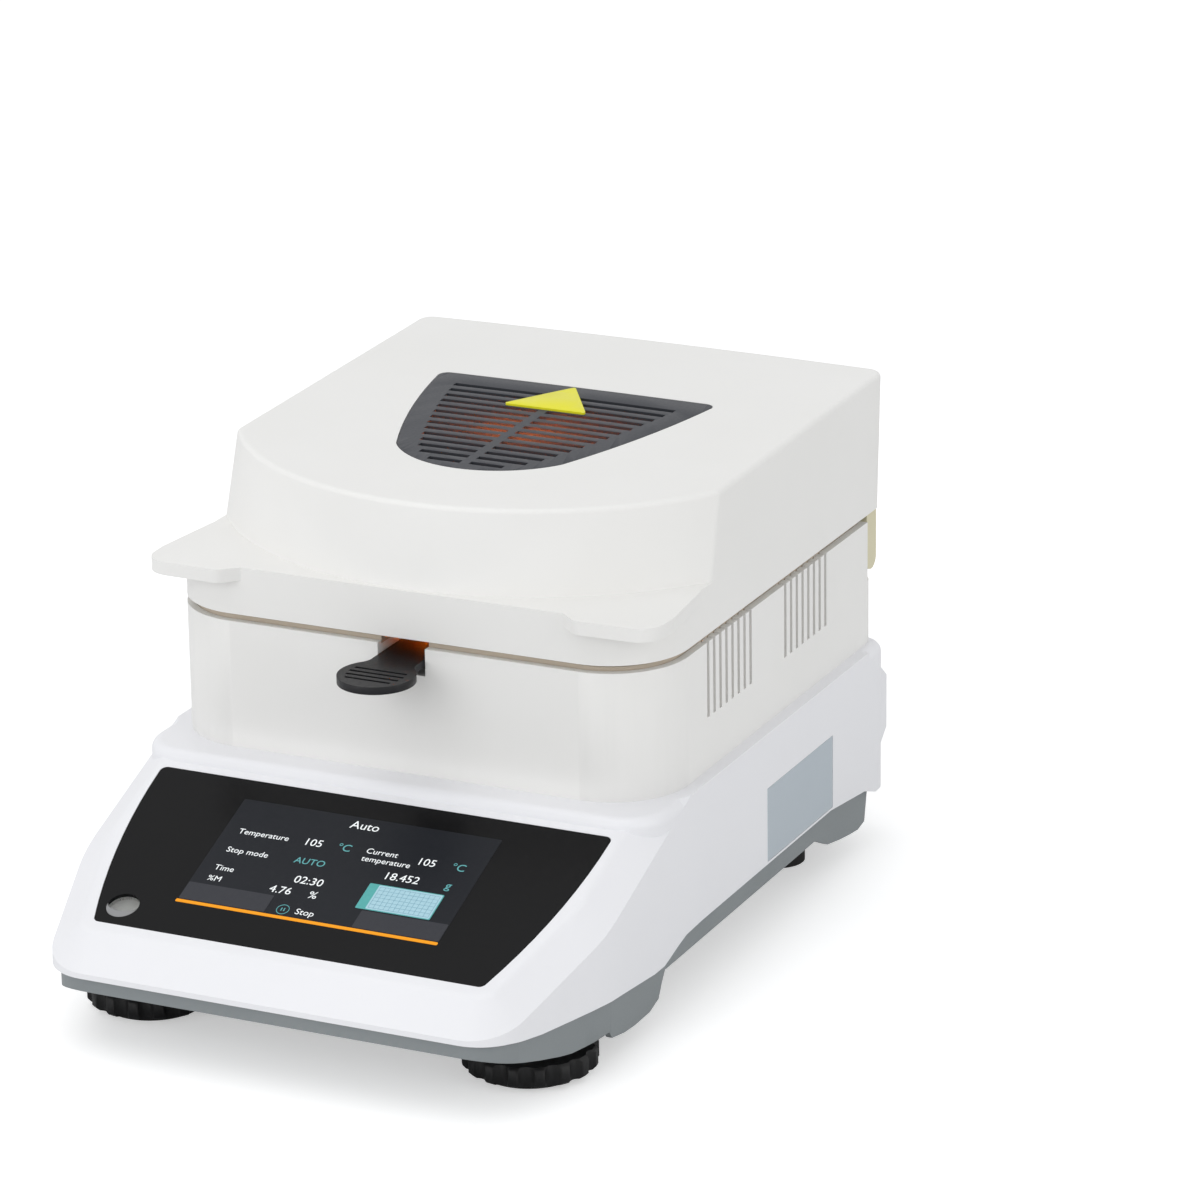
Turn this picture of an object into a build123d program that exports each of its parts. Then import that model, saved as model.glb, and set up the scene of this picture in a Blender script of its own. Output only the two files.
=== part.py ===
"""Halogen moisture analyzer: a balance base with a heated sample chamber under a hinged lid.

Millimetres, +Z up, X across the front and Y from the front to the rear. The origin is on the
table, in the middle of the footprint. Sizes come first, then one function for each piece.
"""
import os
from math import atan2, cos, degrees, hypot, pi, radians, sin, tan

from build123d import *

# Base: the white cover, its sloping control deck and the grey tray below
base_width = 215.0
base_depth = 322.5
front_y = -167.0
base_top_z = 82.8
cover_wall = 2.5
nose_inset = 15.5
nose_radius = 20.0
flare_depth = 59.0
flare_radius = 70.0
base_corner = 10.0
nose_top_z = 41.04
margin_width = 11.5
margin_drop = 8.5
margin_inner_round = 5.0
same_slope = 1e-3
shoulder_depth = 98.5
shoulder_corner = 18.0
shoulder_round = 4.0
tray_gap = 0.4
tray_wall = 2.4
tray_floor_z = 24.5
tray_floor = 2.5
tray_wall_top_z = 31.8
cover_low_z = 22.0
seam_z = 30.5
seam_front = ((-25.0, 0.0), (9.0, 0.1), (24.0, 1.5), (39.0, 1.8), (55.0, 2.0), (69.0, 3.0), (84.0, 4.5),
              (99.5, 6.1), (108.0, 6.2), (113.0, 4.9), (120.0, 2.9), (127.7, 1.1), (142.0, 0.6))
seam_rear = ((58.5, 0.5), (24.5, 4.5), (13.5, 8.5))
skirt_front = ((-10.0, 24.3), (3.0, 24.2), (8.2, 22.5), (19.0, 19.4), (26.5, 17.5), (37.0, 15.2), (43.5, 14.2),
               (66.0, 14.2), (68.5, 11.0), (79.0, 9.0), (88.0, 8.3), (101.0, 8.4), (108.8, 10.7), (111.9, 16.1),
               (114.6, 19.9))
skirt_rear = ((67.5, 20.0), (55.1, 14.1), (43.0, 11.8), (32.9, 10.3), (24.5, 9.4), (18.0, 10.7), (15.5, 22.0))

# Control panel, seen square on: its top edge, its length down the deck and its barrel sides
panel_set = 95.0
panel_top_drop = 5.35
panel_side_margin = 14.2
panel_nose_margin = 13.0
panel_length = 84.9
panel_bulge = 3.6
panel_corner = 2.5
panel_thickness = 1.4
pocket_gap = 0.2
display_side_margin = 25.8
display_height = 56.9
display_top = 10.5
display_border = 3.0
display_thickness = 6.0
level_window_radius = 6.3
level_window_inset = 7.0
level_window_down = 75.0
level_body_radius = 9.0
level_body_depth = 7.0
level_glass_radius = 7.0
level_glass_depth = 4.0

# Rear hood and the sockets in its window
hood_depth = 7.5
hood_low_z = 42.0
hood_high_z = 64.0
hood_slope = 6.5
hood_inset = 4.0
window_inset = 23.5
window_low_z = 41.5
window_high_z = 65.5
rear_plate_thickness = 2.0
rear_plate_lap = 2.5
socket_line_z = 53.5
flange_thickness = 2.0
inlet_flange_width, inlet_flange_height = 31.0, 23.4
inlet_body_width, inlet_body_height, inlet_depth = 27.0, 20.0, 23.0
inlet_mouth_width, inlet_mouth_height, inlet_mouth_depth = 24.0, 16.5, 17.0
inlet_pin_width, inlet_pin_height, inlet_pin_length, inlet_pin_pitch = 2.0, 4.0, 11.5, 7.0
fuse_radius, fuse_flange_radius, fuse_depth = 6.0, 7.5, 18.0
fuse_slot_width, fuse_slot_depth = 1.6, 1.2
rocker_frame_width, rocker_frame_height, rocker_frame_depth = 25.0, 16.0, 14.0
rocker_length, rocker_height, rocker_tilt, rocker_rise = 15.0, 10.4, 8.0, 6.5
rocker_gap, rocker_side_gap = 1.3, 0.4
rocker_bed, rocker_pivot_radius = 6.0, 1.2
serial_flange_width, serial_flange_height = 31.0, 12.5
serial_shell_width, serial_shell_height, serial_shell_depth = 17.0, 8.5, 5.5
serial_shell_wall, serial_body_depth = 0.8, 10.0
usb_width, usb_height, usb_depth, usb_wall = 14.0, 7.0, 13.0, 0.8
lan_width, lan_height, lan_depth, lan_wall = 16.0, 14.0, 18.0, 1.6

# Chamber housing on the base, its vents and its notch for the lifter
chamber_set = 112.0
chamber_side_margin = 5.0
chamber_rear_margin = 2.5
chamber_height = 50.0
chamber_corner = 30.4
chamber_rear_corner = 8.0
chamber_wall = 3.0
ledge_width = 3.0
ledge_thickness = 3.0
floor_rise = 12.2
floor_thickness = 1.5
deck_drop = 4.4
deck_thickness = 3.0
deck_opening = 64.0
slot_count = 8
slot_pitch = 5.53
slot_width = 2.2
slot_foot = 20.6
slot_group_set = (45.9, 117.4)
notch_width = 19.6
notch_depth = 10.6
notch_channel, notch_channel_wall = 17.0, 2.0
chamber_center_shift = 9.0
heat_plate_gap = 0.3
heat_plate_thickness = 3.0
heat_plate_opening = 60.0
heat_skirt_thickness = 1.5
heat_skirt_gap = 0.6
heat_skirt_low_gap = 0.9
heat_skirt_front_inset, heat_skirt_rear_inset = 35.0, 23.0
shield_radius = 58.0
shield_wall = 1.5
shield_height = 31.0
shield_foot = 62.0
shield_slot_width = 21.0
shield_slot_depth = 9.0

# Lid: a rim that matches the chamber, a flat shelf, and a crowned body with a bowed front
lid_gap = 3.0
lid_wall = 2.5
rim_height = 18.7
rim_length = 150.0
lid_height = 53.4
lid_crown = 0.8
lid_slope = 0.9
lid_side_taper = 1.5
lid_low_apex, lid_top_apex = -1.3, 7.0
lid_low_end, lid_top_end = 47.6, 64.5
lid_low_overhang, lid_top_overhang = 7.0, 14.0
lid_front_corner = 4.0
lid_rear_corner = 6.0
lid_round = 2.0
ear_thickness = 5.2
ear_points = ((-6.5, 60.0), (-0.3, 43.0), (3.3, 11.0), (2.7, -5.3), (-29.0, -6.0), (-36.0, 0.1), (-36.0, 20.0))
ear_outer_round = 10.0
ear_inner_round = 5.0
frame_gap = 0.4
frame_drop = 0.7
frame_thickness = 3.0
frame_window = 54.0
frame_overhang = 4.0

# Hinge across the rear of the chamber
hinge_overhang = 0.0
hinge_drop = 16.8
knuckle_radius = 4.8
knuckle_end_wall = 1.5
knuckle_length = 23.5
knuckle_gap = 0.3
hinge_pin_radius = 2.5
hinge_clearance = 0.05
hinge_recess_gap = 2.6
bracket_thickness = 2.0
bracket_ear = 5.2
bracket_width = 20.0
bracket_height = 16.0

# Grille in the lid, with its slots, and the bare triangular plate on it
grille_half = 59.4
grille_waist = (45.6, 41.0)
grille_shoulder = (34.9, 12.1)
grille_apex_y = -6.7
grille_back_y = 99.3
grille_corner = 4.0
grille_thickness = 3.0
grille_gap = 0.3
grille_slots = 14
grille_slot_width = 3.0
grille_slot_pitch = 6.53
grille_slot_margin = 10.0
grille_first_slot = 13.4
grille_rib = 3.8
triangle_side = 35.4
triangle_height = 28.0
triangle_set = 30.4
triangle_thickness = 0.8
triangle_corner = 1.0

# Heater inside the lid
glass_radius = 53.6
glass_thickness = 3.0
glass_ring_radius = 57.0
glass_ring_thickness = 1.2
lamp_ring_radius = 40.0
lamp_tube_radius = 4.5
lamp_rise = 13.0
lamp_gap_angle = 40.0
lamp_holder_width, lamp_holder_length = 11.0, 19.0
reflector_radius = 62.0
reflector_throat = 24.0
reflector_rise = 20.0
reflector_depth = 14.0
reflector_wall = 1.2
probe_radius = 1.5
probe_reach = 16.0
probe_block = (8.0, 10.0, 6.0)

# Sample pan, its lifter and the support on the load cell
pan_radius = 43.0
pan_flange_radius = 48.0
pan_depth = 7.8
pan_wall = 0.8
pan_rise = 34.5
support_gap = 0.3
support_ring_radius = 34.0
support_ring_width = 3.0
support_bar = 4.0
support_thickness = 2.0
support_stem_radius = 4.0
stem_hole_radius = 12.0
stem_gap = 0.7
lifter_ring_inner = 45.0
lifter_ring_outer = 52.0
lifter_ring_thickness = 3.0
lifter_gap = 0.4
lifter_neck_width = 18.6
lifter_neck_thickness = 3.2
lifter_neck_rise = 4.6
lifter_step_gap, lifter_step = 1.5, 2.5
grip_reach = 20.0
grip_radius = 14.7
grip_thickness = 3.0
grip_neck_round = 6.0
grip_grooves = 4
grip_groove_pitch = 3.6
grip_groove_width = 1.4
grip_groove_depth = 0.8
load_cell_width, load_cell_length, load_cell_height = 30.0, 80.0, 22.0
load_cell_overhang = 12.0
load_cell_hole = 7.5
load_cell_hole_pitch = 24.0
load_cell_foot_length = 26.0
load_cell_foot_height = 23.0

# Boards in the base
board_rise = 11.0
board_thickness = 1.6
standoff_radius = 3.5
main_board_inset, main_board_set = 27.5, 109.0
power_board_inset, power_board_middle_gap = 11.5, 20.0
power_board_rear_inset, power_board_length = 37.5, 60.0
boards_gap = 40.0
board_margin = 6.0
chip_height = 3.0
main_board_chips = ((-45.0, 0.0, 20.0, 20.0), (0.0, 12.0, 14.0, 18.0), (40.0, 0.0, 26.0, 12.0))
transformer_length, transformer_height = 42.0, 28.0
heat_sink_fins = 5
heat_sink_fin = 1.6
heat_sink_pitch = 4.0
heat_sink_height = 22.0
heat_sink_length = 40.0
ribbon_width = 18.0
ribbon_thickness = 0.6
ribbon_slant = 1.2

# Feet
foot_side_inset, foot_set = 29.5, 55.3
foot_radius = 25.0
foot_thickness = 8.0
foot_scallops = 16
foot_scallop_radius = 3.2
foot_scallop_share = 0.3
foot_edge = 1.2
foot_pad_radius = 19.0
foot_pad_thickness = 2.0
foot_pad_gap = 0.3
stud_radius = 4.0
stud_top_z = 44.0
insert_clearance = 0.08
insert_radius = 6.0
insert_low_z = 14.0
insert_boss_radius = 10.0
insert_top_z = 32.0
rear_foot_side_inset, rear_foot_rear_inset = 29.5, 43.5
rear_foot_radius = 11.0
rear_foot_neck = 8.0
rear_foot_height = 7.0

# Screws
screw_head_radius = 2.8
screw_head_height = 2.2
screw_radius = 1.5
screw_clearance = 0.1
boss_radius = 5.0
tray_screw_inset, tray_screw_set, tray_screw_rear_inset = 14.5, 125.0, 26.5
chamber_screw_inset, chamber_screw_set, chamber_screw_rear_inset = 18.5, 38.0, 37.0
lid_screw_inset, lid_screw_set, lid_screw_rear_inset = 18.5, 75.0, 15.0
screw_grip = 12.0

# Rating plate, lid switch
label_rear_inset, label_length, label_height, label_low_z = 56.8, 63.0, 29.5, 31.0
label_thickness = 0.4
switch_size = (8.0, 20.0, 6.0)
magnet_radius, magnet_height = 4.0, 3.0
switch_inset, switch_set = 18.5, 28.0

# Heights and places that follow from the sizes
half_width = base_width / 2
nose_width = base_width - 2 * nose_inset
panel_top_width = base_width - 2 * panel_side_margin
panel_low_width = nose_width - 2 * panel_nose_margin
level_window_side = panel_low_width / 2 - level_window_inset
display_width = panel_low_width - 2 * display_side_margin
panel_top_z = base_top_z - panel_top_drop
deck_tilt = degrees(atan2(panel_top_z - nose_top_z, panel_set))
base_rear_y = front_y + base_depth
hood_width = base_width - 2 * hood_inset
window_width = base_width - 2 * window_inset
chamber_width = base_width - 2 * chamber_side_margin
chamber_depth = base_depth - chamber_set - chamber_rear_margin
chamber_half = chamber_width / 2
shoulder_y = front_y + shoulder_depth
panel_top_y = front_y + panel_set
chamber_front_y = front_y + chamber_set
chamber_rear_y = chamber_front_y + chamber_depth
chamber_top_z = base_top_z + chamber_height
center_y = chamber_front_y + chamber_depth / 2 - chamber_center_shift
deck_z = chamber_top_z - deck_drop
heat_plate_z = deck_z + deck_thickness
floor_z = base_top_z + floor_rise
lid_low_z = chamber_top_z + lid_gap
shelf_z = lid_low_z + rim_height
lid_top_z = lid_low_z + lid_height
hinge_y = chamber_rear_y + hinge_overhang
hinge_z = chamber_top_z - hinge_drop
recess_y = hinge_y - knuckle_radius - hinge_recess_gap
recess_z = hinge_z - knuckle_radius - hinge_recess_gap
frame_z = lid_low_z - frame_drop
frame_top_z = frame_z + frame_thickness
pan_z = base_top_z + pan_rise
pan_top_z = pan_z + pan_depth
lifter_ring_z = pan_top_z - pan_wall - lifter_gap - lifter_ring_thickness
neck_top_z = lifter_ring_z + lifter_ring_thickness + lifter_neck_rise
board_z = tray_floor_z + tray_floor + board_rise
floor_top_z = tray_floor_z + tray_floor
load_cell_z = floor_top_z + load_cell_foot_height
load_cell_top_z = load_cell_z + load_cell_height
foot_x, foot_y = half_width - foot_side_inset, front_y + foot_set
rear_foot_x, rear_foot_y = half_width - rear_foot_side_inset, base_rear_y - rear_foot_rear_inset
main_board_x = (main_board_inset - half_width, half_width - main_board_inset)
power_board_x = (power_board_inset - half_width, -power_board_middle_gap)
power_board_y = (base_rear_y - power_board_rear_inset - power_board_length, base_rear_y - power_board_rear_inset)
main_board_y = (front_y + main_board_set, power_board_y[0] - boards_gap)
switch_x, switch_y = chamber_half - switch_inset, chamber_front_y + switch_set
label_y = (base_rear_y - label_rear_inset - label_length, base_rear_y - label_rear_inset)
tray_screw_x = half_width - tray_screw_inset
tray_screw_ys = (front_y + tray_screw_set, base_rear_y - tray_screw_rear_inset)
chamber_screw_x = chamber_half - chamber_screw_inset
chamber_screw_ys = (chamber_front_y + chamber_screw_set, chamber_rear_y - chamber_screw_rear_inset)
lid_screw_x = chamber_half - lid_screw_inset
lid_screw_ys = (chamber_front_y + lid_screw_set, chamber_rear_y - lid_screw_rear_inset)
wheel_z = foot_pad_thickness + foot_pad_gap
reach = 400.0

# Sockets stand in a row across the window, with equal gaps
socket_widths = {"inlet": inlet_flange_width, "fuse": 2 * fuse_flange_radius, "rocker": rocker_frame_width,
                 "serial": serial_flange_width, "usb": usb_width + usb_wall, "lan": lan_width + usb_wall}
socket_gap = (window_width - sum(socket_widths.values())) / (len(socket_widths) + 1)
socket_x = {}
socket_edge = -window_width / 2
for socket, wide in socket_widths.items():
    socket_x[socket] = socket_edge + socket_gap + wide / 2
    socket_edge += socket_gap + wide


def block(x, y, z):
    """A box from its spans along X, Y and Z."""
    middle = Pos((x[0] + x[1]) / 2, (y[0] + y[1]) / 2, (z[0] + z[1]) / 2)
    return middle * Box(x[1] - x[0], y[1] - y[0], z[1] - z[0])


def centred(x, width):
    """The span of a width about a middle."""
    return (x - width / 2, x + width / 2)


def post(x, y, z, radius):
    """An upright round bar over a span of heights."""
    return Pos(x, y, (z[0] + z[1]) / 2) * Cylinder(radius, z[1] - z[0])


def bar_x(x, y, z, radius):
    """A round bar along X."""
    return Pos((x[0] + x[1]) / 2, y, z) * Rot(0, 90, 0) * Cylinder(radius, x[1] - x[0])


def bar_y(x, y, z, radius):
    """A round bar along Y."""
    return Pos(x, (y[0] + y[1]) / 2, z) * Rot(90, 0, 0) * Cylinder(radius, y[1] - y[0])


def slab(face, z):
    """A plan outline raised over a span of heights."""
    return extrude(Pos(0, 0, z[0]) * face, z[1] - z[0])


def across(points, width):
    """A side outline, given as points of Y and Z, drawn out across the object."""
    return extrude(Plane.YZ * make_face(Polyline(*points, close=True)), width / 2, both=True)


def inset(face, amount):
    """A plan outline drawn in by an amount."""
    return offset(face, amount=-amount, kind=Kind.INTERSECTION)


def both_sides(shape):
    """A shape and its mirror image about the middle plane."""
    return shape + mirror(shape, about=Plane.YZ)


def rounded(face, axis, last, radius):
    """A plan outline with the corners at one end of an axis rounded."""
    corners = face.vertices().group_by(axis)[-1 if last else 0]
    return fillet(corners, radius)


def base_plan():
    """Footprint of the base: parallel sides that flare in to a narrower rounded nose."""
    flare_y = front_y + flare_depth
    right = [(half_width, base_rear_y), (half_width, flare_y), (nose_width / 2, front_y)]
    left = [(-x, y) for x, y in reversed(right)]
    face = make_face(Polyline(*right, *left, close=True))
    face = rounded(face, Axis.Y, False, nose_radius)
    flare = [v for v in face.vertices() if abs(v.Y - flare_y) < tray_gap]
    face = fillet(flare, flare_radius)
    return rounded(face, Axis.Y, True, base_corner)


def shoulder_plan():
    """Footprint of the raised part that carries the chamber."""
    face = make_face(Polyline((half_width, base_rear_y), (half_width, shoulder_y),
                              (-half_width, shoulder_y), (-half_width, base_rear_y), close=True))
    face = rounded(face, Axis.Y, False, shoulder_corner)
    return rounded(face, Axis.Y, True, base_corner)


def deck_height(y, drop=0.0):
    """Height of the sloping deck over a place along Y, less a drop square to the deck."""
    slope = radians(deck_tilt)
    return panel_top_z + (y - panel_top_y) * tan(slope) - drop / cos(slope)


def deck_face(solid):
    """The flat sloping face of the deck."""
    return [f for f in solid.faces() if abs(f.normal_at().Z - cos(radians(deck_tilt))) < same_slope][0]


def deck_rim(deck, crease_y):
    """The edges round the deck, without the one across its top."""
    rim = []
    for edge in deck.edges():
        box = edge.bounding_box()
        if abs(box.min.Y - crease_y) > tray_gap or box.size.Y > tray_gap:
            rim.append(edge)
    return rim


def base_solid(wall, low_z):
    """The base's outer form, or its hollow when drawn in by a wall."""
    top = base_top_z - wall
    crease_y = panel_top_y + (top - deck_height(panel_top_y, wall)) / tan(radians(deck_tilt))
    ahead, hidden_y = front_y - nose_radius, base_rear_y - 2 * base_corner
    side = [(ahead, low_z), (ahead, deck_height(ahead, wall)), (crease_y, top), (hidden_y, top), (hidden_y, low_z)]
    plan, shoulder = base_plan(), shoulder_plan()
    if wall:
        plan, shoulder = inset(plan, wall), inset(shoulder, wall)
    lower = slab(plan, (low_z, base_top_z)) & across(side, reach)
    upper = slab(shoulder, (low_z, top))
    span = hypot(margin_width, margin_drop)
    depth = margin_width * margin_drop / span
    share = (depth + wall - wall * (margin_width + margin_drop) / span) / depth
    deck = deck_face(lower)
    lower = chamfer(deck_rim(deck, crease_y), length=margin_width * share, length2=margin_drop * share,
                    reference=deck)
    if not wall:
        lower = fillet(deck_rim(deck_face(lower), crease_y), margin_inner_round)
        upper = fillet(upper.edges().group_by(Axis.Z)[-1], shoulder_round)
    return lower + upper


def deck_plane(down=0.0, depth=0.0, side=0.0):
    """A plane on the deck: X across, Y up the slope, Z out of it."""
    slope = radians(deck_tilt)
    origin = (side, panel_top_y - down * cos(slope) + depth * sin(slope),
              panel_top_z - down * sin(slope) - depth * cos(slope))
    return Plane(origin=origin, x_dir=(1, 0, 0), z_dir=(0, -sin(slope), cos(slope)))


def panel_outline(grow=0.0):
    """The control panel's outline: a trapezoid with bowed sides."""
    top, low = panel_top_width / 2, panel_low_width / 2
    middle = (top + low) / 2 + panel_bulge
    edge = [Line((-top, 0), (top, 0)), ThreePointArc((top, 0), (middle, -panel_length / 2), (low, -panel_length)),
            Line((low, -panel_length), (-low, -panel_length)),
            ThreePointArc((-low, -panel_length), (-middle, -panel_length / 2), (-top, 0))]
    face = make_face(edge)
    face = fillet(face.vertices(), panel_corner)
    return offset(face, amount=grow) if grow else face


def display_opening(border):
    """The display's rectangle on the deck, grown by a border."""
    middle = display_top + display_height / 2
    size = (display_width + 2 * border, display_height + 2 * border)
    return deck_plane(middle) * Rectangle(*size)


def seam_region():
    """Everything below the line where the white cover ends and the grey tray shows."""
    line = [(front_y + y, seam_z - drop) for y, drop in seam_front]
    line += [(base_rear_y - y, seam_z - drop) for y, drop in seam_rear]
    beyond = base_rear_y + reach
    return across(line + [(beyond, cover_low_z), (beyond, 0.0), (front_y - reach, 0.0)], reach)


def screw_places(x, ys):
    """Screw centres in mirrored pairs."""
    return [(side * x, y) for y in ys for side in (-1, 1)]


def top_cover():
    """White cover: deck with a pocket for the panel, windows, a rear hood and screw bosses."""
    cover = base_solid(0.0, cover_low_z)
    hood = [(base_rear_y - base_corner, hood_low_z - hood_slope), (base_rear_y, hood_low_z - hood_slope),
            (base_rear_y + hood_depth, hood_low_z), (base_rear_y + hood_depth, hood_high_z),
            (base_rear_y, hood_high_z + hood_slope), (base_rear_y - base_corner, hood_high_z + hood_slope)]
    cover += across(hood, hood_width)
    cover -= base_solid(cover_wall, cover_low_z - tray_gap)
    top = base_top_z - cover_wall
    for x, y in screw_places(tray_screw_x, tray_screw_ys):
        cover += post(x, y, (floor_top_z, top), boss_radius)
        cover -= post(x, y, (floor_top_z, floor_top_z + screw_grip), screw_radius + screw_clearance)
    for x, y in screw_places(chamber_screw_x, chamber_screw_ys):
        cover -= post(x, y, (top, base_top_z), screw_radius + screw_clearance)
    cover -= seam_region()
    cover -= extrude(deck_plane() * panel_outline(pocket_gap), -panel_thickness)
    cover -= extrude(display_opening(display_border + pocket_gap), -2 * display_thickness)
    level = deck_plane(level_window_down, 0, -level_window_side)
    cover -= extrude(level * Circle(level_body_radius + pocket_gap), -2 * level_body_depth)
    cover -= post(0, center_y, (top - cover_wall, base_top_z + cover_wall), stem_hole_radius)
    cover -= block((half_width - label_thickness, half_width + label_thickness),
                   (label_y[0] - pocket_gap, label_y[1] + pocket_gap),
                   (label_low_z - pocket_gap, label_low_z + label_height + pocket_gap))
    cover -= block(centred(0, window_width), (base_rear_y - 2 * cover_wall, base_rear_y + 2 * hood_depth),
                   (window_low_z, window_high_z))
    return cover


def base_tray():
    """Grey tray: a floor, walls that nest in the cover and skirts that drop beside the feet."""
    plan = inset(base_plan(), cover_wall + tray_gap)
    inner = inset(base_plan(), cover_wall + tray_gap + tray_wall)
    skirt = [(front_y + y, z) for y, z in skirt_front] + [(base_rear_y - y, z) for y, z in skirt_rear]
    skirt += [(base_rear_y - base_corner, tray_floor_z), (base_rear_y + reach, tray_floor_z)]
    top = [(base_rear_y + reach, tray_wall_top_z), (front_y + skirt_front[0][0], tray_wall_top_z)]
    wall = (slab(plan, (0, tray_wall_top_z)) & across(skirt + top, reach)) - slab(inner, (0, tray_wall_top_z))
    tray = wall + slab(plan, (tray_floor_z, floor_top_z))
    for x in (-foot_x, foot_x):
        tray += post(x, foot_y, (insert_low_z, insert_top_z), insert_boss_radius)
        tray -= post(x, foot_y, (0, reach / 4), insert_radius)
    for x, y in screw_places(tray_screw_x, tray_screw_ys):
        tray -= post(x, y, (tray_floor_z, floor_top_z), screw_radius + screw_clearance)
    return tray


def chamber_plan():
    """Footprint of the chamber housing, with large front corners."""
    half = chamber_half
    face = make_face(Polyline((half, chamber_rear_y), (half, chamber_front_y), (-half, chamber_front_y),
                              (-half, chamber_rear_y), close=True))
    face = rounded(face, Axis.Y, False, chamber_corner)
    return rounded(face, Axis.Y, True, chamber_rear_corner)


def recess(depth, low):
    """The space behind the chamber that the lid's flange hangs in, grown by a wall."""
    return block((-reach, reach), (recess_y - depth, chamber_rear_y + reach), (recess_z - low, reach))


def vent_slots():
    """Upright slots in both side walls, open at the rim."""
    half = chamber_half
    slots = []
    for group in slot_group_set:
        for i in range(slot_count):
            y = chamber_front_y + group + i * slot_pitch + slot_width
            slots.append(block((half - 2 * chamber_wall, half + chamber_wall), centred(y, slot_width),
                               (base_top_z + slot_foot, chamber_top_z + chamber_wall)))
    return Compound(children=slots)


def notch(width, low_z):
    """The way through the front for the lifter's neck."""
    return block(centred(0, width), (chamber_front_y - chamber_wall, center_y), (low_z, chamber_top_z + reach))


def chamber_housing():
    """White housing: walls with vents, a ledge for the floor, a deck round the opening."""
    plan = chamber_plan()
    inner = inset(plan, chamber_wall)
    hollow = slab(inner, (base_top_z, chamber_top_z)) - recess(chamber_wall, ledge_thickness)
    housing = slab(plan, (base_top_z, chamber_top_z)) - hollow - recess(0.0, 0.0)
    ledge = slab(inner, (floor_z - ledge_thickness, floor_z))
    ledge -= slab(inset(plan, chamber_wall + ledge_width), (base_top_z, chamber_top_z))
    deck = slab(inner, (deck_z, heat_plate_z)) - recess(0.0, 0.0)
    deck -= post(0, center_y, (base_top_z, chamber_top_z), deck_opening)
    housing += ledge + deck
    for x, y in screw_places(chamber_screw_x, chamber_screw_ys):
        wall_x = (chamber_half - chamber_wall / 2) * (1 if x > 0 else -1)
        housing += block((min(x, wall_x), max(x, wall_x)), centred(y, chamber_wall), (base_top_z, floor_z))
        housing += post(x, y, (base_top_z, floor_z), boss_radius)
        housing -= post(x, y, (base_top_z, base_top_z - cover_wall + screw_grip), screw_radius + screw_clearance)
    notch_low_z = chamber_top_z - notch_depth
    housing += block(centred(0, notch_width + 2 * notch_channel_wall),
                     (chamber_front_y + chamber_wall / 2, chamber_front_y + notch_channel),
                     (notch_low_z - notch_channel_wall, deck_z))
    housing -= notch(notch_width, notch_low_z)
    for slot in vent_slots().solids():
        housing -= slot
    return housing


def heat_plate():
    """Beige plate on the chamber's deck, round the opening."""
    plan = inset(chamber_plan(), chamber_wall + heat_plate_gap)
    plate = slab(plan, (heat_plate_z, heat_plate_z + heat_plate_thickness))
    plate -= recess(chamber_wall + heat_plate_gap, ledge_thickness)
    plate -= post(0, center_y, (base_top_z, reach), heat_plate_opening)
    return plate - notch(notch_width, base_top_z)


def vent_baffles():
    """Beige strips that hang behind the vents."""
    outer = chamber_half - chamber_wall - heat_skirt_gap
    strip = block((outer - heat_skirt_thickness, outer),
                  (chamber_front_y + heat_skirt_front_inset, chamber_rear_y - heat_skirt_rear_inset),
                  (floor_z + floor_thickness + heat_skirt_low_gap, deck_z))
    return both_sides(strip)


def chamber_floor():
    """Heat shield that closes the chamber above the base, with a hole for the stem."""
    plan = inset(chamber_plan(), chamber_wall + pocket_gap)
    return slab(plan, (floor_z, floor_z + floor_thickness)) - post(0, center_y, (0, reach), stem_hole_radius)


def draft_shield():
    """Metal ring round the pan, standing on the chamber floor, slotted for the lifter."""
    low = floor_z + floor_thickness
    ring = post(0, center_y, (low, low + shield_height), shield_radius)
    ring += post(0, center_y, (low, low + shield_wall), shield_foot)
    ring -= post(0, center_y, (low, reach), shield_radius - shield_wall)
    slot = block(centred(0, shield_slot_width), (center_y - 2 * shield_radius, center_y),
                 (low + shield_height - shield_slot_depth, reach))
    return ring - slot


def lid_section(half, apex, end, rear):
    """A level cut through the lid's body: a bowed front and a straight rear."""
    front, back = chamber_front_y + end, chamber_rear_y + rear
    bow = ThreePointArc((-half, front), (0, chamber_front_y + apex), (half, front))
    sides = Polyline((half, front), (half, back), (-half, back), (-half, front))
    face = make_face([bow, sides])
    face = rounded(face, Axis.Y, True, lid_rear_corner)
    ends = [v for v in face.vertices() if abs(v.Y - front) < tray_gap]
    return fillet(ends, lid_front_corner)


def crown(drop=0.0):
    """Everything below the lid's slightly crowned and forward-sloping top."""
    slope = radians(lid_slope)
    rear, half = chamber_rear_y + lid_top_overhang, chamber_half - lid_side_taper
    top = lid_top_z - drop
    plane = Plane(origin=(0, rear + chamber_corner, chamber_corner * sin(slope)), x_dir=(1, 0, 0),
                  z_dir=(0, -cos(slope), -sin(slope)))
    edge = [ThreePointArc((-half, top), (0, top + lid_crown), (half, top)),
            Polyline((half, top), (half + chamber_corner, top - lid_crown / 2),
                     (half + chamber_corner, base_top_z), (-half - chamber_corner, base_top_z),
                     (-half - chamber_corner, top - lid_crown / 2), (-half, top))]
    return extrude(plane * make_face(edge), reach)


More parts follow.
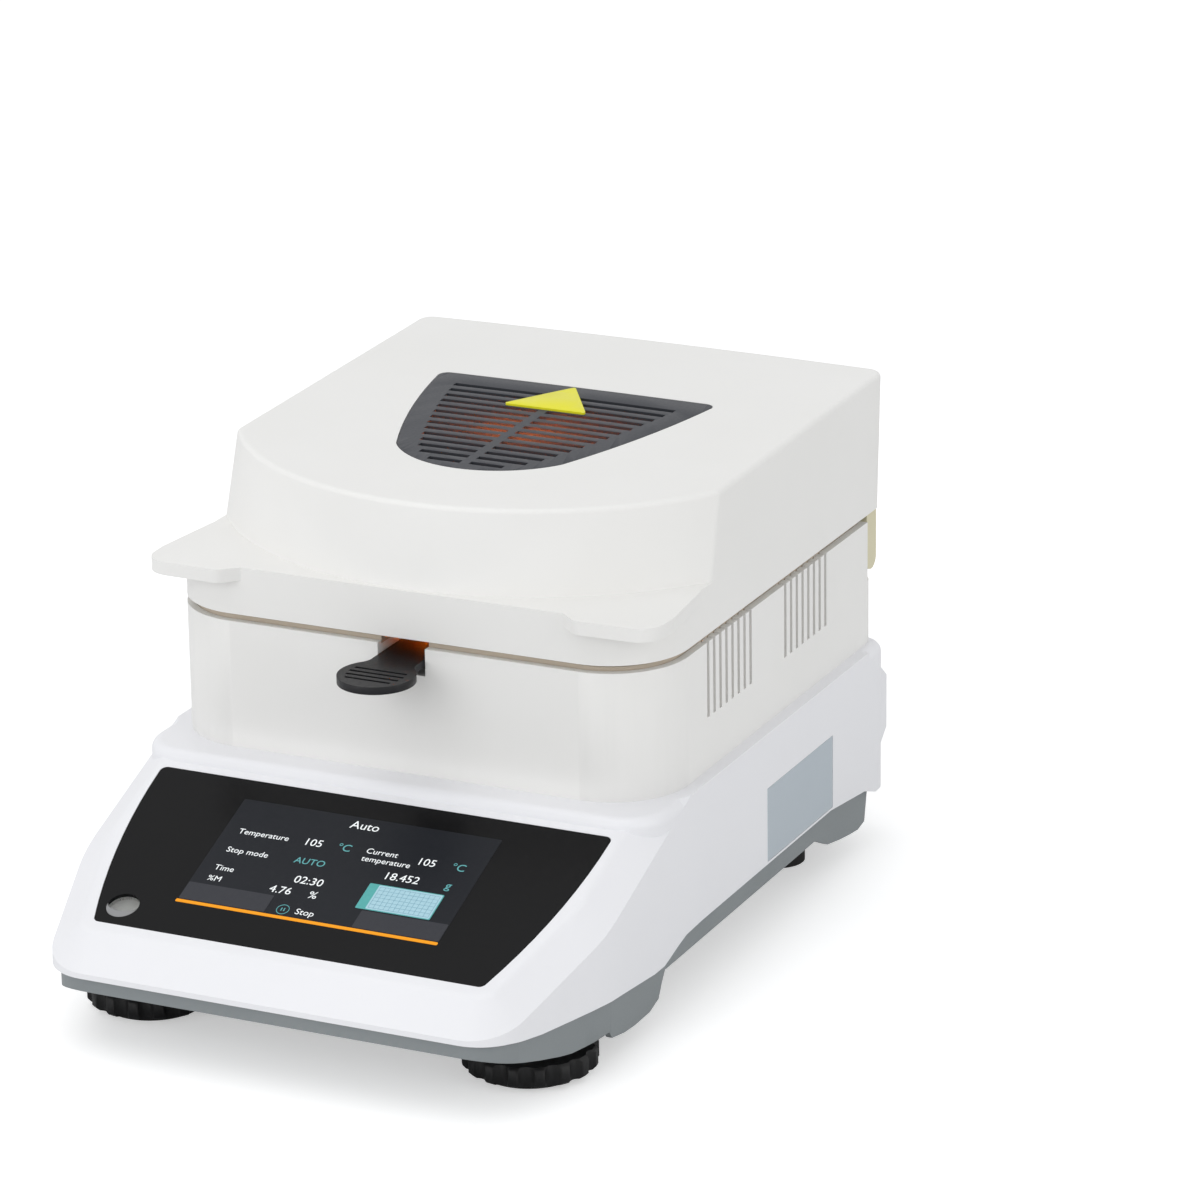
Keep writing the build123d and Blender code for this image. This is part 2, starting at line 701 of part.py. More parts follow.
def lid_body(wall):
    """The lid's crowned body from its rim up, or its hollow when drawn in by a wall."""
    rise = lid_height + 2 * lid_wall
    low_sizes = (chamber_half, lid_low_apex, lid_low_end, lid_low_overhang)
    top_sizes = (chamber_half - lid_side_taper, lid_top_apex, lid_top_end, lid_top_overhang)
    low = lid_section(*low_sizes)
    high = lid_section(*[a + (b - a) * rise / lid_height for a, b in zip(low_sizes, top_sizes)])
    if wall:
        low, high = inset(low, wall), inset(high, wall)
    body = loft([Pos(0, 0, lid_low_z) * low.face(), Pos(0, 0, lid_low_z + rise) * high.face()], ruled=True)
    body &= crown(wall)
    if not wall:
        top = [e for e in body.edges() if e.bounding_box().min.Z > lid_low_z + rim_height + 2 * lid_wall
               and e.bounding_box().size.Z < lid_wall * 2]
        body = fillet(top, lid_round)
    front = block((-reach, reach), (chamber_front_y + wall, reach), (0, reach))
    return body & front


def lid_rim(wall):
    """The front of the lid's rim: its nose is upright and its sides run on into the body's."""
    rear = chamber_front_y + rim_length
    sections = []
    for z in (lid_low_z, shelf_z - wall):
        half = chamber_half - lid_side_taper * (z - lid_low_z) / lid_height - wall
        front = chamber_front_y + wall
        face = make_face(Polyline((half, rear), (half, front), (-half, front), (-half, rear), close=True))
        sections.append(Pos(0, 0, z) * rounded(face, Axis.Y, False, chamber_corner - wall))
    return loft(sections, ruled=True)


def ear():
    """One grip ear: a flat tab over the rim's rounded corner."""
    points = [(chamber_half + x, chamber_front_y + y) for x, y in ear_points]
    face = make_face(Polyline(*points, close=True))
    outer = [v for v in face.vertices() if abs(v.X - points[3][0]) + abs(v.Y - points[3][1]) < tray_gap]
    face = fillet(outer, ear_outer_round)
    inner = [v for v in face.vertices() if abs(v.X - points[4][0]) + abs(v.Y - points[4][1]) < tray_gap]
    face = fillet(inner, ear_inner_round)
    return slab(face, (shelf_z - ear_thickness, shelf_z))


def grille_plan(gap=0.0):
    """Shield-shaped outline of the grille on the lid's top."""
    waist, shoulder = grille_waist, grille_shoulder
    back = (grille_half, grille_back_y)
    edge = [ThreePointArc(back, waist, shoulder),
            ThreePointArc(shoulder, (0, grille_apex_y), (-shoulder[0], shoulder[1])),
            ThreePointArc((-shoulder[0], shoulder[1]), (-waist[0], waist[1]), (-back[0], back[1])),
            Line((-back[0], back[1]), back)]
    face = rounded(make_face(edge), Axis.Y, True, grille_corner)
    return inset(face, gap) if gap else face


def lid_cover():
    """White lid: rim, ears and body as one shell, open below, with the grille's opening."""
    cover = lid_rim(0.0) + lid_body(0.0) + both_sides(ear())
    cover -= lid_rim(lid_wall) + lid_body(lid_wall)
    for x, y in screw_places(lid_screw_x, lid_screw_ys):
        boss = post(x, y, (frame_top_z, lid_top_z), boss_radius) & (lid_body(lid_wall / 2) + lid_rim(lid_wall / 2))
        cover += boss
        cover -= post(x, y, (frame_top_z, frame_top_z + screw_grip), screw_radius + screw_clearance)
    cover -= slab(grille_plan(), (shelf_z, lid_top_z + reach))
    return cover


def lid_grille():
    """Dark grille that follows the lid's crown, with rows of slots either side of a rib."""
    plan = grille_plan(grille_gap)
    grille = (slab(plan, (shelf_z, reach)) & crown()) - crown(grille_thickness)
    for i in range(grille_slots):
        y = grille_back_y - grille_first_slot - i * grille_slot_pitch
        strip = plan & (Pos(0, y) * Rectangle(reach, grille_slot_width))
        half = strip.bounding_box().max.X - grille_slot_margin
        slot = block((grille_rib / 2, half), centred(y, grille_slot_width), (shelf_z, reach))
        grille -= both_sides(slot)
    return grille


def triangle_plate():
    """Bare yellow triangle on the grille, following the crown."""
    base_y = grille_back_y - triangle_set
    face = make_face(Polyline((-triangle_side / 2, base_y), (triangle_side / 2, base_y), (0, base_y + triangle_height),
                              close=True))
    face = fillet(face.vertices(), triangle_corner)
    return (slab(face, (shelf_z, reach)) & crown(-triangle_thickness)) - crown()


def knuckle_span(side):
    """Where one hinge knuckle lies along X."""
    outer = side * (chamber_half - 2 * knuckle_end_wall)
    inner = outer - side * knuckle_length
    return (min(inner, outer), max(inner, outer))


def lid_frame():
    """Cream frame that closes the lid below, with a rear flange and the hinge knuckles."""
    half = chamber_half - lid_wall - frame_gap - lid_side_taper / 2
    front, rear = chamber_front_y + lid_wall + frame_gap, chamber_rear_y + frame_overhang
    face = make_face(Polyline((half, rear), (half, front), (-half, front), (-half, rear), close=True))
    face = rounded(face, Axis.Y, False, chamber_corner - lid_wall - frame_gap)
    face = rounded(face, Axis.Y, True, lid_rear_corner - lid_wall - frame_gap)
    frame = slab(face, (frame_z, frame_top_z))
    frame -= post(0, center_y, (0, reach), frame_window)
    flange_width = chamber_width - 2 * knuckle_end_wall
    flange = block(centred(0, flange_width), centred(hinge_y, 2 * knuckle_radius), (hinge_z, frame_z))
    frame += block(centred(0, flange_width - lid_rear_corner), (hinge_y - knuckle_radius, rear),
                   (frame_z, frame_top_z))
    flange += bar_x(centred(0, flange_width), hinge_y, hinge_z, knuckle_radius)
    ear_low, ear_high = knuckle_span(1)[0] - bracket_ear - 2 * knuckle_gap, knuckle_span(1)[0]
    cutout = block((ear_low, ear_high), (0, reach), (0, hinge_z + knuckle_radius + 2 * knuckle_gap))
    frame += flange - both_sides(cutout)
    for side in (-1, 1):
        frame -= bar_x(knuckle_span(side), hinge_y, hinge_z, hinge_pin_radius + hinge_clearance)
    for x, y in screw_places(lid_screw_x, lid_screw_ys):
        frame -= post(x, y, (frame_z, frame_top_z), screw_head_radius + screw_clearance)
    frame -= post(switch_x, switch_y, (frame_z, frame_z + magnet_height), magnet_radius)
    return frame


def hinge_brackets():
    """Two brackets on the chamber's rear, each with an ear that holds a pin."""
    inner = knuckle_span(1)[0] - knuckle_gap
    ear_part = bar_x((inner - bracket_ear, inner), hinge_y, hinge_z, knuckle_radius)
    ear_part += block((inner - bracket_ear, inner), (recess_y, hinge_y), centred(hinge_z, 2 * knuckle_radius))
    plate = block((inner - bracket_width, inner), (recess_y, recess_y + bracket_thickness),
                  (recess_z + knuckle_gap, recess_z + knuckle_gap + bracket_height))
    bracket = ear_part + plate - bar_x((inner - bracket_ear, inner), hinge_y, hinge_z, hinge_pin_radius)
    return both_sides(bracket)


def hinge_pins():
    """Two steel pins, held in the brackets and running in the lid's knuckles."""
    inner = knuckle_span(1)[0] - knuckle_gap - bracket_ear
    return both_sides(bar_x((inner, knuckle_span(1)[1] - knuckle_gap), hinge_y, hinge_z, hinge_pin_radius))


def panel_glass():
    """Black control window, flush in the deck, with a round hole over the level."""
    glass = extrude(deck_plane() * panel_outline(), -panel_thickness)
    level = deck_plane(level_window_down, 0, -level_window_side)
    return glass - extrude(level * Circle(level_window_radius), -panel_thickness)


def display_module():
    """Display and its frame, close under the control window."""
    plane_depth = panel_thickness
    middle = display_top + display_height / 2
    size = (display_width + 2 * display_border, display_height + 2 * display_border)
    return extrude(deck_plane(middle, plane_depth) * Rectangle(*size), -display_thickness)


def level_plane(depth):
    """A plane under the level's window, at a depth below the deck."""
    return deck_plane(level_window_down, depth, -level_window_side)


def level_body():
    """White cup that holds the spirit level under its window."""
    cup = extrude(level_plane(panel_thickness) * Circle(level_body_radius), -level_body_depth)
    return cup - extrude(level_plane(panel_thickness) * Circle(level_glass_radius), -level_glass_depth)


def level_vial():
    """Glass vial of the spirit level."""
    return extrude(level_plane(panel_thickness) * Circle(level_glass_radius), -level_glass_depth)


def rear_plate():
    """Plate behind the hood's window that carries the sockets, with a hole for each."""
    face_y = base_rear_y - cover_wall
    plate = block(centred(0, window_width + 2 * rear_plate_lap), (face_y - rear_plate_thickness, face_y),
                  (window_low_z - rear_plate_lap, window_high_z + rear_plate_lap))
    rocker_width, rocker_side = rocker_frame_width - flange_thickness, rocker_frame_height - flange_thickness
    for x, width, height in ((socket_x["inlet"], inlet_body_width, inlet_body_height),
                             (socket_x["rocker"], rocker_width, rocker_side),
                             (socket_x["serial"], serial_shell_width, serial_shell_height),
                             (socket_x["usb"], usb_width, usb_height), (socket_x["lan"], lan_width, lan_height)):
        plate -= block(centred(x, width), centred(face_y, 2 * hood_depth), centred(socket_line_z, height))
    return plate - bar_y(socket_x["fuse"], centred(face_y, 2 * hood_depth), socket_line_z, fuse_radius)


def socket_part(x, body, flange, depth, mouth, mouth_depth):
    """A rear socket: a body through the plate, a flange outside it and an open mouth."""
    face_y = base_rear_y - cover_wall
    front = face_y + flange_thickness
    part = block(centred(x, body[0]), (face_y - depth, face_y), centred(socket_line_z, body[1]))
    part += block(centred(x, flange[0]), (face_y, front), centred(socket_line_z, flange[1]))
    return part - block(centred(x, mouth[0]), (front - mouth_depth, front + flange_thickness),
                        centred(socket_line_z, mouth[1]))


def inlet_housing():
    """Mains inlet."""
    body, flange = (inlet_body_width, inlet_body_height), (inlet_flange_width, inlet_flange_height)
    mouth = (inlet_mouth_width, inlet_mouth_height)
    return socket_part(socket_x["inlet"], body, flange, inlet_depth, mouth, inlet_mouth_depth)


def inlet_pins():
    """Three contact blades in the inlet."""
    back = base_rear_y - cover_wall + flange_thickness - inlet_mouth_depth
    pins = [block(centred(socket_x["inlet"] + i * inlet_pin_pitch, inlet_pin_width), (back, back + inlet_pin_length),
                  centred(socket_line_z + (inlet_pin_height / 2 if i == 0 else -inlet_pin_height / 2),
                          inlet_pin_height)) for i in (-1, 0, 1)]
    return Compound(children=pins)


def fuse_holder():
    """Round fuse holder with a slotted cap."""
    face_y = base_rear_y - cover_wall
    cap_y = face_y + flange_thickness
    part = bar_y(socket_x["fuse"], (face_y - fuse_depth, face_y), socket_line_z, fuse_radius)
    part += bar_y(socket_x["fuse"], (face_y, cap_y), socket_line_z, fuse_flange_radius)
    return part - block(centred(socket_x["fuse"], 2 * fuse_radius), (cap_y - fuse_slot_depth, cap_y + fuse_slot_depth),
                        centred(socket_line_z, fuse_slot_width))


def rocker_frame():
    """Frame of the power switch."""
    half_mouth = rocker_length + 2 * rocker_gap, rocker_height + 2 * rocker_side_gap
    body = rocker_frame_width - flange_thickness, rocker_frame_height - flange_thickness
    flange = rocker_frame_width, rocker_frame_height
    return socket_part(socket_x["rocker"], body, flange, rocker_frame_depth, half_mouth,
                       rocker_frame_depth - flange_thickness + rocker_pivot_radius)


def rocker_pivot_y():
    """Depth of the rocker's pivot."""
    return base_rear_y - cover_wall + flange_thickness - rocker_bed


def power_rocker():
    """Rocker of the power switch, resting on its off side."""
    half = rocker_length / 2
    rise, dip = rocker_rise, rocker_rise - half * tan(radians(rocker_tilt))
    points = [(-half, rise), (0, dip), (half, rise), (half, 0), (0, -rocker_bed / 2), (-half, 0)]
    face = make_face(Polyline(*points, close=True))
    rocker = Pos(0, 0, -rocker_height / 2) * extrude(face, rocker_height)
    return Pos(socket_x["rocker"], rocker_pivot_y(), socket_line_z) * Rot(0, 0, rocker_tilt) * rocker


def serial_socket():
    """Nine-way serial socket with its metal shell."""
    face_y = base_rear_y - cover_wall
    front = face_y + flange_thickness
    shell = centred(socket_x["serial"], serial_shell_width), centred(socket_line_z, serial_shell_height)
    part = block(shell[0], (face_y - serial_body_depth, front + serial_shell_depth), shell[1])
    part += block(centred(socket_x["serial"], serial_flange_width), (face_y, front),
                  centred(socket_line_z, serial_flange_height))
    trim = 2 * serial_shell_wall
    return part - block(centred(socket_x["serial"], serial_shell_width - trim), (front, reach),
                        centred(socket_line_z, serial_shell_height - trim))


def usb_socket():
    """USB socket."""
    flange = (usb_width + usb_wall, usb_height + usb_wall)
    mouth = (usb_width - 2 * usb_wall, usb_height - 2 * usb_wall)
    return socket_part(socket_x["usb"], (usb_width, usb_height), flange, usb_depth, mouth, usb_depth)


def lan_socket():
    """Network socket."""
    flange = (lan_width + usb_wall, lan_height + usb_wall)
    mouth = (lan_width - 2 * lan_wall, lan_height - 2 * lan_wall)
    return socket_part(socket_x["lan"], (lan_width, lan_height), flange, lan_depth, mouth, lan_depth - lan_wall)


def lamp_glass():
    """Round protective glass in the lid frame's window."""
    return post(0, center_y, (frame_z, frame_z + glass_thickness), glass_radius)


def glass_ring():
    """Ring that holds the glass from above."""
    low = frame_top_z
    ring = post(0, center_y, (low, low + glass_ring_thickness), glass_ring_radius)
    return ring - post(0, center_y, (low, low + glass_ring_thickness), glass_radius - lamp_tube_radius)


def reflector_z():
    """Height of the reflector's rim."""
    return frame_top_z + reflector_rise


def probe_z():
    """Height of the temperature probe's rod."""
    return frame_top_z + probe_block[2] / 2


def lamp_reflector():
    """Polished dish above the lamp, standing on a skirt round the glass."""
    low, throat = frame_top_z, reflector_z() + reflector_depth
    wall = reflector_wall
    outer = [(reflector_radius, low), (reflector_radius, reflector_z()), (reflector_throat, throat),
             (reflector_throat - wall, throat), (reflector_radius - wall, reflector_z() - wall),
             (reflector_radius - wall, low)]
    face = Plane.XZ * make_face(Polyline(*outer, close=True))
    dish = Pos(0, center_y, 0) * revolve(face, Axis.Z)
    return dish - bar_x((reflector_throat, reflector_radius + wall), center_y, probe_z(), probe_radius + screw_clearance)


def halogen_lamp():
    """Ring lamp: a glass tube bent round most of a circle, open at the rear."""
    start = 90 + lamp_gap_angle / 2
    path = CenterArc((0, 0), lamp_ring_radius, start, 360 - lamp_gap_angle)
    section = Plane(origin=path @ 0, z_dir=path % 0) * Circle(lamp_tube_radius)
    return Pos(0, center_y, frame_top_z + lamp_rise) * sweep(section, path)


def lamp_holders():
    """Two ceramic holders for the ends of the lamp, standing on the glass ring."""
    width, length = lamp_holder_width, lamp_holder_length
    angle = radians(lamp_gap_angle / 2)
    x, y = lamp_ring_radius * sin(angle), center_y + lamp_ring_radius * cos(angle)
    low = frame_top_z + glass_ring_thickness
    lift = lamp_rise + lamp_tube_radius - glass_ring_thickness + tray_gap
    holder = block((x - width / 2, x + width / 2 - lamp_tube_radius / 2),
                   (y + lamp_tube_radius / 2, y + length), (low, low + lift))
    return both_sides(holder - mirror_lamp_space())


def mirror_lamp_space():
    """The room the lamp tube needs in its holders."""
    ring = Pos(0, center_y, frame_top_z + lamp_rise) * Torus(lamp_ring_radius, lamp_tube_radius)
    return ring


def temperature_probe():
    """Probe that reaches under the reflector beside the lamp."""
    width, length, height = probe_block
    x = reflector_radius
    part = block((x, x + width), centred(center_y, length), (frame_top_z, frame_top_z + height))
    return part + bar_x((x - probe_reach, x), center_y, probe_z(), probe_radius)


def load_cell():
    """Aluminium bending beam with a waisted middle."""
    front = center_y - load_cell_overhang
    beam = block(centred(0, load_cell_width), (front, front + load_cell_length), (load_cell_z, load_cell_top_z))
    middle_y, middle_z = front + load_cell_length / 2, (load_cell_z + load_cell_top_z) / 2
    for y in (middle_y - load_cell_hole_pitch / 2, middle_y + load_cell_hole_pitch / 2):
        beam -= bar_x(centred(0, 2 * load_cell_width), y, middle_z, load_cell_hole)
    return beam - block(centred(0, 2 * load_cell_width), centred(middle_y, load_cell_hole_pitch),
                        centred(middle_z, load_cell_hole))


def load_cell_foot():
    """Block that clamps the fixed end of the load cell to the tray."""
    rear = center_y - load_cell_overhang + load_cell_length
    return block(centred(0, load_cell_width), (rear - load_cell_foot_length, rear), (floor_top_z, load_cell_z))


def pan_support():
    """Star on a stem that carries the pan's weight down to the load cell."""
    top = pan_z - support_gap
    bar_z = (top - 2 * support_thickness, top - support_thickness)
    ring = post(0, center_y, (top - 2 * support_thickness, top), support_ring_radius)
    ring -= post(0, center_y, (0, reach), support_ring_radius - support_ring_width)
    arms = block(centred(0, 2 * support_ring_radius - support_ring_width), centred(center_y, support_bar), bar_z)
    arms += block(centred(0, support_bar), centred(center_y, 2 * support_ring_radius - support_ring_width), bar_z)
    stem = post(0, center_y, (load_cell_top_z + stem_gap, bar_z[1]), support_stem_radius)
    return ring + arms + stem


def sample_pan():
    """Shallow aluminium dish with a flange for lifting."""
    outline = [(0, pan_z), (pan_radius, pan_z), (pan_radius, pan_top_z - pan_wall),
               (pan_flange_radius, pan_top_z - pan_wall), (pan_flange_radius, pan_top_z),
               (pan_radius - pan_wall, pan_top_z), (pan_radius - pan_wall, pan_z + pan_wall), (0, pan_z + pan_wall)]
    face = Plane.XZ * make_face(Polyline(*outline, close=True))
    return Pos(0, center_y, 0) * revolve(face, Axis.Z)


def pan_lifter():
    """Black fork ring under the pan's flange, with a neck through the notch and a ridged grip."""
    ring_low, ring_high = lifter_ring_z, lifter_ring_z + lifter_ring_thickness
    ring = post(0, center_y, (ring_low, ring_high), lifter_ring_outer)
    ring -= post(0, center_y, (0, reach), lifter_ring_inner)
    grip_y = chamber_front_y - grip_reach
    neck_end = center_y - pan_flange_radius - 2 * lifter_gap
    head = Pos(0, grip_y) * Circle(grip_radius) + Pos(0, (grip_y + chamber_front_y) / 2) * Rectangle(
        lifter_neck_width, chamber_front_y - grip_y)
    waist = [v for v in head.vertices() if grip_y < v.Y < chamber_front_y - lifter_gap]
    head = fillet(waist, grip_neck_round)
    grip = slab(head, (neck_top_z - grip_thickness, neck_top_z))
    step_y = chamber_front_y + notch_channel + lifter_step_gap
    neck = block(centred(0, lifter_neck_width), (chamber_front_y, step_y + lifter_step),
                 (neck_top_z - lifter_neck_thickness, neck_top_z))
    neck += block(centred(0, lifter_neck_width), (step_y, step_y + lifter_step), (ring_low, neck_top_z))
    neck += block(centred(0, lifter_neck_width), (step_y, neck_end), (ring_low, ring_high))
    lifter = ring + grip + neck
    for i in range(grip_grooves):
        y = grip_y - grip_groove_pitch * (i - 1)
        half = (grip_radius ** 2 - (y - grip_y) ** 2) ** 0.5 - grip_groove_pitch
        lifter -= block((-half, half), centred(y, grip_groove_width), (neck_top_z - grip_groove_depth, reach))
    return lifter


def circuit_board(x, y, chips):
    """A board on the tray's standoffs, with its larger parts."""
    board = block(x, y, (board_z, board_z + board_thickness))
    for chip_x, chip_y, width, length in chips:
        board += block(centred(chip_x, width), centred(chip_y, length),
                       (board_z + board_thickness, board_z + board_thickness + chip_height))
    return board


def main_board():
    """Main board under the deck."""
    middle_y = sum(main_board_y) / 2
    chips = [(x, middle_y + rear, width, length) for x, rear, width, length in main_board_chips]
    return circuit_board(main_board_x, main_board_y, chips)


def power_board():
    """Power board beside the load cell."""
    return circuit_board(power_board_x, power_board_y, [])


def transformer():
    """Transformer on the power board."""
    width = power_board_x[1] - power_board_x[0] - heat_sink_fins * heat_sink_pitch - 3 * board_margin
    length, height = transformer_length, transformer_height
    low = board_z + board_thickness
    x = power_board_x[0] + board_margin
    y = power_board_y[0] + board_margin
    core = block((x, x + width), (y, y + length), (low + board_margin / 2, low + height - board_margin / 2))
    coil = block((x + board_margin, x + width - board_margin), (y + board_margin, y + length - board_margin),
                 (low, low + height))
    return core + coil


def heat_sink():
    """Finned heat sink on the power board's free end."""
    left = power_board_x[1] - heat_sink_fins * heat_sink_pitch - board_margin
    low = board_z + board_thickness
    y = centred(sum(power_board_y) / 2, heat_sink_length)
    lefts = [left + i * heat_sink_pitch for i in range(heat_sink_fins)]
    sink = block((left, lefts[-1] + heat_sink_fin), y, (low, low + heat_sink_fin))
    for fin in lefts:
        sink += block((fin, fin + heat_sink_fin), y, (low, low + heat_sink_height))
    return sink


def standoffs():
    """Round posts between the tray and both boards."""
    posts = []
    for x, y in ((main_board_x, main_board_y), (power_board_x, power_board_y)):
        for px in (x[0] + board_margin, x[1] - board_margin):
            for py in (y[0] + board_margin, y[1] - board_margin):
                posts.append(post(px, py, (floor_top_z, board_z), standoff_radius))
    return Compound(children=posts)


def display_ribbon():
    """Flat ribbon from the main board up to the display."""
    board_top = board_z + board_thickness
    start_y = main_board_y[0] + 2 * board_margin
    under = deck_plane(display_top + board_margin, panel_thickness + display_thickness).origin
    line = [(start_y, board_top), (start_y - board_margin, board_top),
            (under.Y - board_margin, under.Z - 2 * board_margin), (under.Y, under.Z - ribbon_thickness)]
    back = [(y + ribbon_thickness * ribbon_slant, z + ribbon_thickness) for y, z in reversed(line[1:])]
    return across(line + back + [(start_y, board_top + ribbon_thickness)], ribbon_width)


def foot_wheel(x):
    """Scalloped wheel of a levelling foot."""
    top = wheel_z + foot_thickness
    wheel = post(x, foot_y, (wheel_z, top), foot_radius)
    wheel = chamfer(wheel.edges().group_by(Axis.Z)[0] + wheel.edges().group_by(Axis.Z)[-1], foot_edge)
    for i in range(foot_scallops):
        angle = 2 * pi * i / foot_scallops
        out = foot_radius + foot_scallop_radius * foot_scallop_share
        wheel -= post(x + out * cos(angle), foot_y + out * sin(angle), (0, top + foot_edge), foot_scallop_radius)
    return wheel


def foot_stud(x):
    """Stud that screws the wheel up into the tray."""
    return post(x, foot_y, (wheel_z + foot_thickness, stud_top_z), stud_radius)


def foot_pad(x):
    """Rubber pad that stays still under the wheel."""
    return post(x, foot_y, (0, foot_pad_thickness), foot_pad_radius)


def foot_inserts():
    """Threaded inserts in the tray, one over each front foot."""
    insert = post(foot_x, foot_y, (insert_low_z, insert_top_z), insert_radius)
    insert -= post(foot_x, foot_y, (0, reach), stud_radius + insert_clearance)
    return both_sides(insert)


def rear_feet():
    """Two fixed rubber feet under the rear of the tray."""
    outline = [(0, 0), (rear_foot_radius, 0), (rear_foot_radius, rear_foot_height),
               (rear_foot_neck, rear_foot_height + rear_foot_neck / 2), (rear_foot_neck, tray_floor_z),
               (0, tray_floor_z)]
    face = Plane.XZ * make_face(Polyline(*outline, close=True))
    return both_sides(Pos(rear_foot_x, rear_foot_y, 0) * revolve(face, Axis.Z))


def screws(places, face_z):
    """Pan-head screws whose heads bear on a face, with shanks pointing up into bosses."""
    group = []
    for x, y in places:
        head = post(x, y, (face_z - screw_head_height, face_z), screw_head_radius)
        group.append(head + post(x, y, (face_z, face_z + screw_grip - screw_clearance), screw_radius))
    return Compound(children=group)


def rating_plate():
    """Bare plate on the right side of the base."""
    return block((half_width - label_thickness, half_width), label_y,
                 (label_low_z, label_low_z + label_height))


def lid_switch():
    """Magnetic switch under the chamber's deck that senses the closed lid."""
    width, length, height = switch_size
    return block(centred(switch_x, width), centred(switch_y, length), (deck_z - height, deck_z))


def lid_magnet():
    """Magnet in the lid frame, over the switch."""
    return post(switch_x, switch_y, (frame_z, frame_z + magnet_height), magnet_radius)


def save(node, shape):
    """Writes one node."""
    export_step(shape, os.path.join("parts", node + ".step"))


os.makedirs("parts", exist_ok=True)
pieces = {
    "base_tray": base_tray, "top_cover": top_cover, "chamber_housing": chamber_housing,
    "heat_plate": heat_plate, "vent_baffles": vent_baffles, "chamber_floor": chamber_floor,
    "draft_shield": draft_shield, "panel_glass": panel_glass, "display_module": display_module,
    "level_body": level_body, "level_vial": level_vial, "rear_plate": rear_plate,
    "inlet_housing": inlet_housing, "inlet_pins": inlet_pins, "fuse_holder": fuse_holder,
    "rocker_frame": rocker_frame, "power_rocker": power_rocker, "serial_socket": serial_socket,
    "usb_socket": usb_socket, "lan_socket": lan_socket, "lid_cover": lid_cover, "lid_frame": lid_frame,
    "lid_grille": lid_grille, "triangle_plate": triangle_plate, "hinge_brackets": hinge_brackets,
    "hinge_pins": hinge_pins, "lamp_glass": lamp_glass, "glass_ring": glass_ring,
    "lamp_reflector": lamp_reflector, "halogen_lamp": halogen_lamp, "lamp_holders": lamp_holders,
    "temperature_probe": temperature_probe, "load_cell": load_cell, "load_cell_foot": load_cell_foot,
    "pan_support": pan_support, "sample_pan": sample_pan, "pan_lifter": pan_lifter,
    "main_board": main_board, "power_board": power_board, "transformer": transformer,
    "heat_sink": heat_sink, "standoffs": standoffs, "display_ribbon": display_ribbon,
    "foot_inserts": foot_inserts, "rear_feet": rear_feet, "rating_plate": rating_plate,
    "lid_switch": lid_switch, "lid_magnet": lid_magnet,
}
for node, make in pieces.items():
    save(node, make())
for name, x in (("left", -foot_x), ("right", foot_x)):
    save(name + "_foot_wheel", foot_wheel(x))
    save(name + "_foot_stud", foot_stud(x))
    save(name + "_foot_pad", foot_pad(x))
save("tray_screws", screws(screw_places(tray_screw_x, tray_screw_ys), tray_floor_z))
save("chamber_screws", screws(screw_places(chamber_screw_x, chamber_screw_ys), base_top_z - cover_wall))
save("lid_screws", screws(screw_places(lid_screw_x, lid_screw_ys), frame_top_z))
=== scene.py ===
# %% [markdown]
# A halogen moisture analyzer, dressed for a photograph.
#
# The instrument was built as CAD first: every cover, board, screw and joint is already a solid in
# its place. Blender adds what CAD leaves out, which is how the surfaces look. One way would be to
# paint over a single mesh. Here each CAD piece keeps its own object and gets its own finish, so
# the lid still swings and the feet still turn. We load the CAD.

# %% Load the CAD pieces
from math import cos, pi, radians, sin

import bmesh
import bpy
from mathutils import Matrix, Vector


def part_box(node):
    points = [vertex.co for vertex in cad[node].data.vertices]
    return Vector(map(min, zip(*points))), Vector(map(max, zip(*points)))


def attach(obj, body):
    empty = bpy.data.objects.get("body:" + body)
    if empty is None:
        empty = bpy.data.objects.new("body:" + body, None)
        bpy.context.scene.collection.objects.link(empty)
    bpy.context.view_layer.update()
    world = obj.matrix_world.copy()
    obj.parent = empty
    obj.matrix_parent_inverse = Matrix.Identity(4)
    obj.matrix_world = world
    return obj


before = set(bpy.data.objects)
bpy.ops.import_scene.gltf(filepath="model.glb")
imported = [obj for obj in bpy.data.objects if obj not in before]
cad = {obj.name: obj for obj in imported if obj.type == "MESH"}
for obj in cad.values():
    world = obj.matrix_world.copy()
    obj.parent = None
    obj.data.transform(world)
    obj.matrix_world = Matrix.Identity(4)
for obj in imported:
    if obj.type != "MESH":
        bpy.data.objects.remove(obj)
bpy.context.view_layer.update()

MM = 0.001

# %% [markdown]
# The room is a plain studio. A picture of a real studio could be wrapped round the scene, but a sky
# of one pale tone needs no file, and gives the soft, almost shadowless light of a catalogue. To the
# camera and in reflections the sky is pure white, but the light it sends to the object is weaker,
# so that white plastic keeps its shading and doesn't wash out.

# %% Sky
SKY_LIGHT = 0.66
SKY_TINT = (0.97, 0.985, 1.0, 1.0)
WHITE = (1.0, 1.0, 1.0, 1.0)

sky = bpy.data.worlds.new("studio_sky")
bpy.context.scene.world = sky
sky.use_nodes = True
sky_nodes, sky_links = sky.node_tree.nodes, sky.node_tree.links
sky_nodes.clear()


def either(one, other):
    """Answers 1 for a ray that is of one kind or of the other."""
    larger = sky_nodes.new("ShaderNodeMath")
    larger.operation = "MAXIMUM"
    sky_links.new(one, larger.inputs[0])
    sky_links.new(other, larger.inputs[1])
    return larger.outputs["Value"]


def sky_tone(tint, strength):
    """One tone of the sky."""
    tone = sky_nodes.new("ShaderNodeBackground")
    tone.inputs["Color"].default_value = tint
    tone.inputs["Strength"].default_value = strength
    return tone.outputs["Background"]


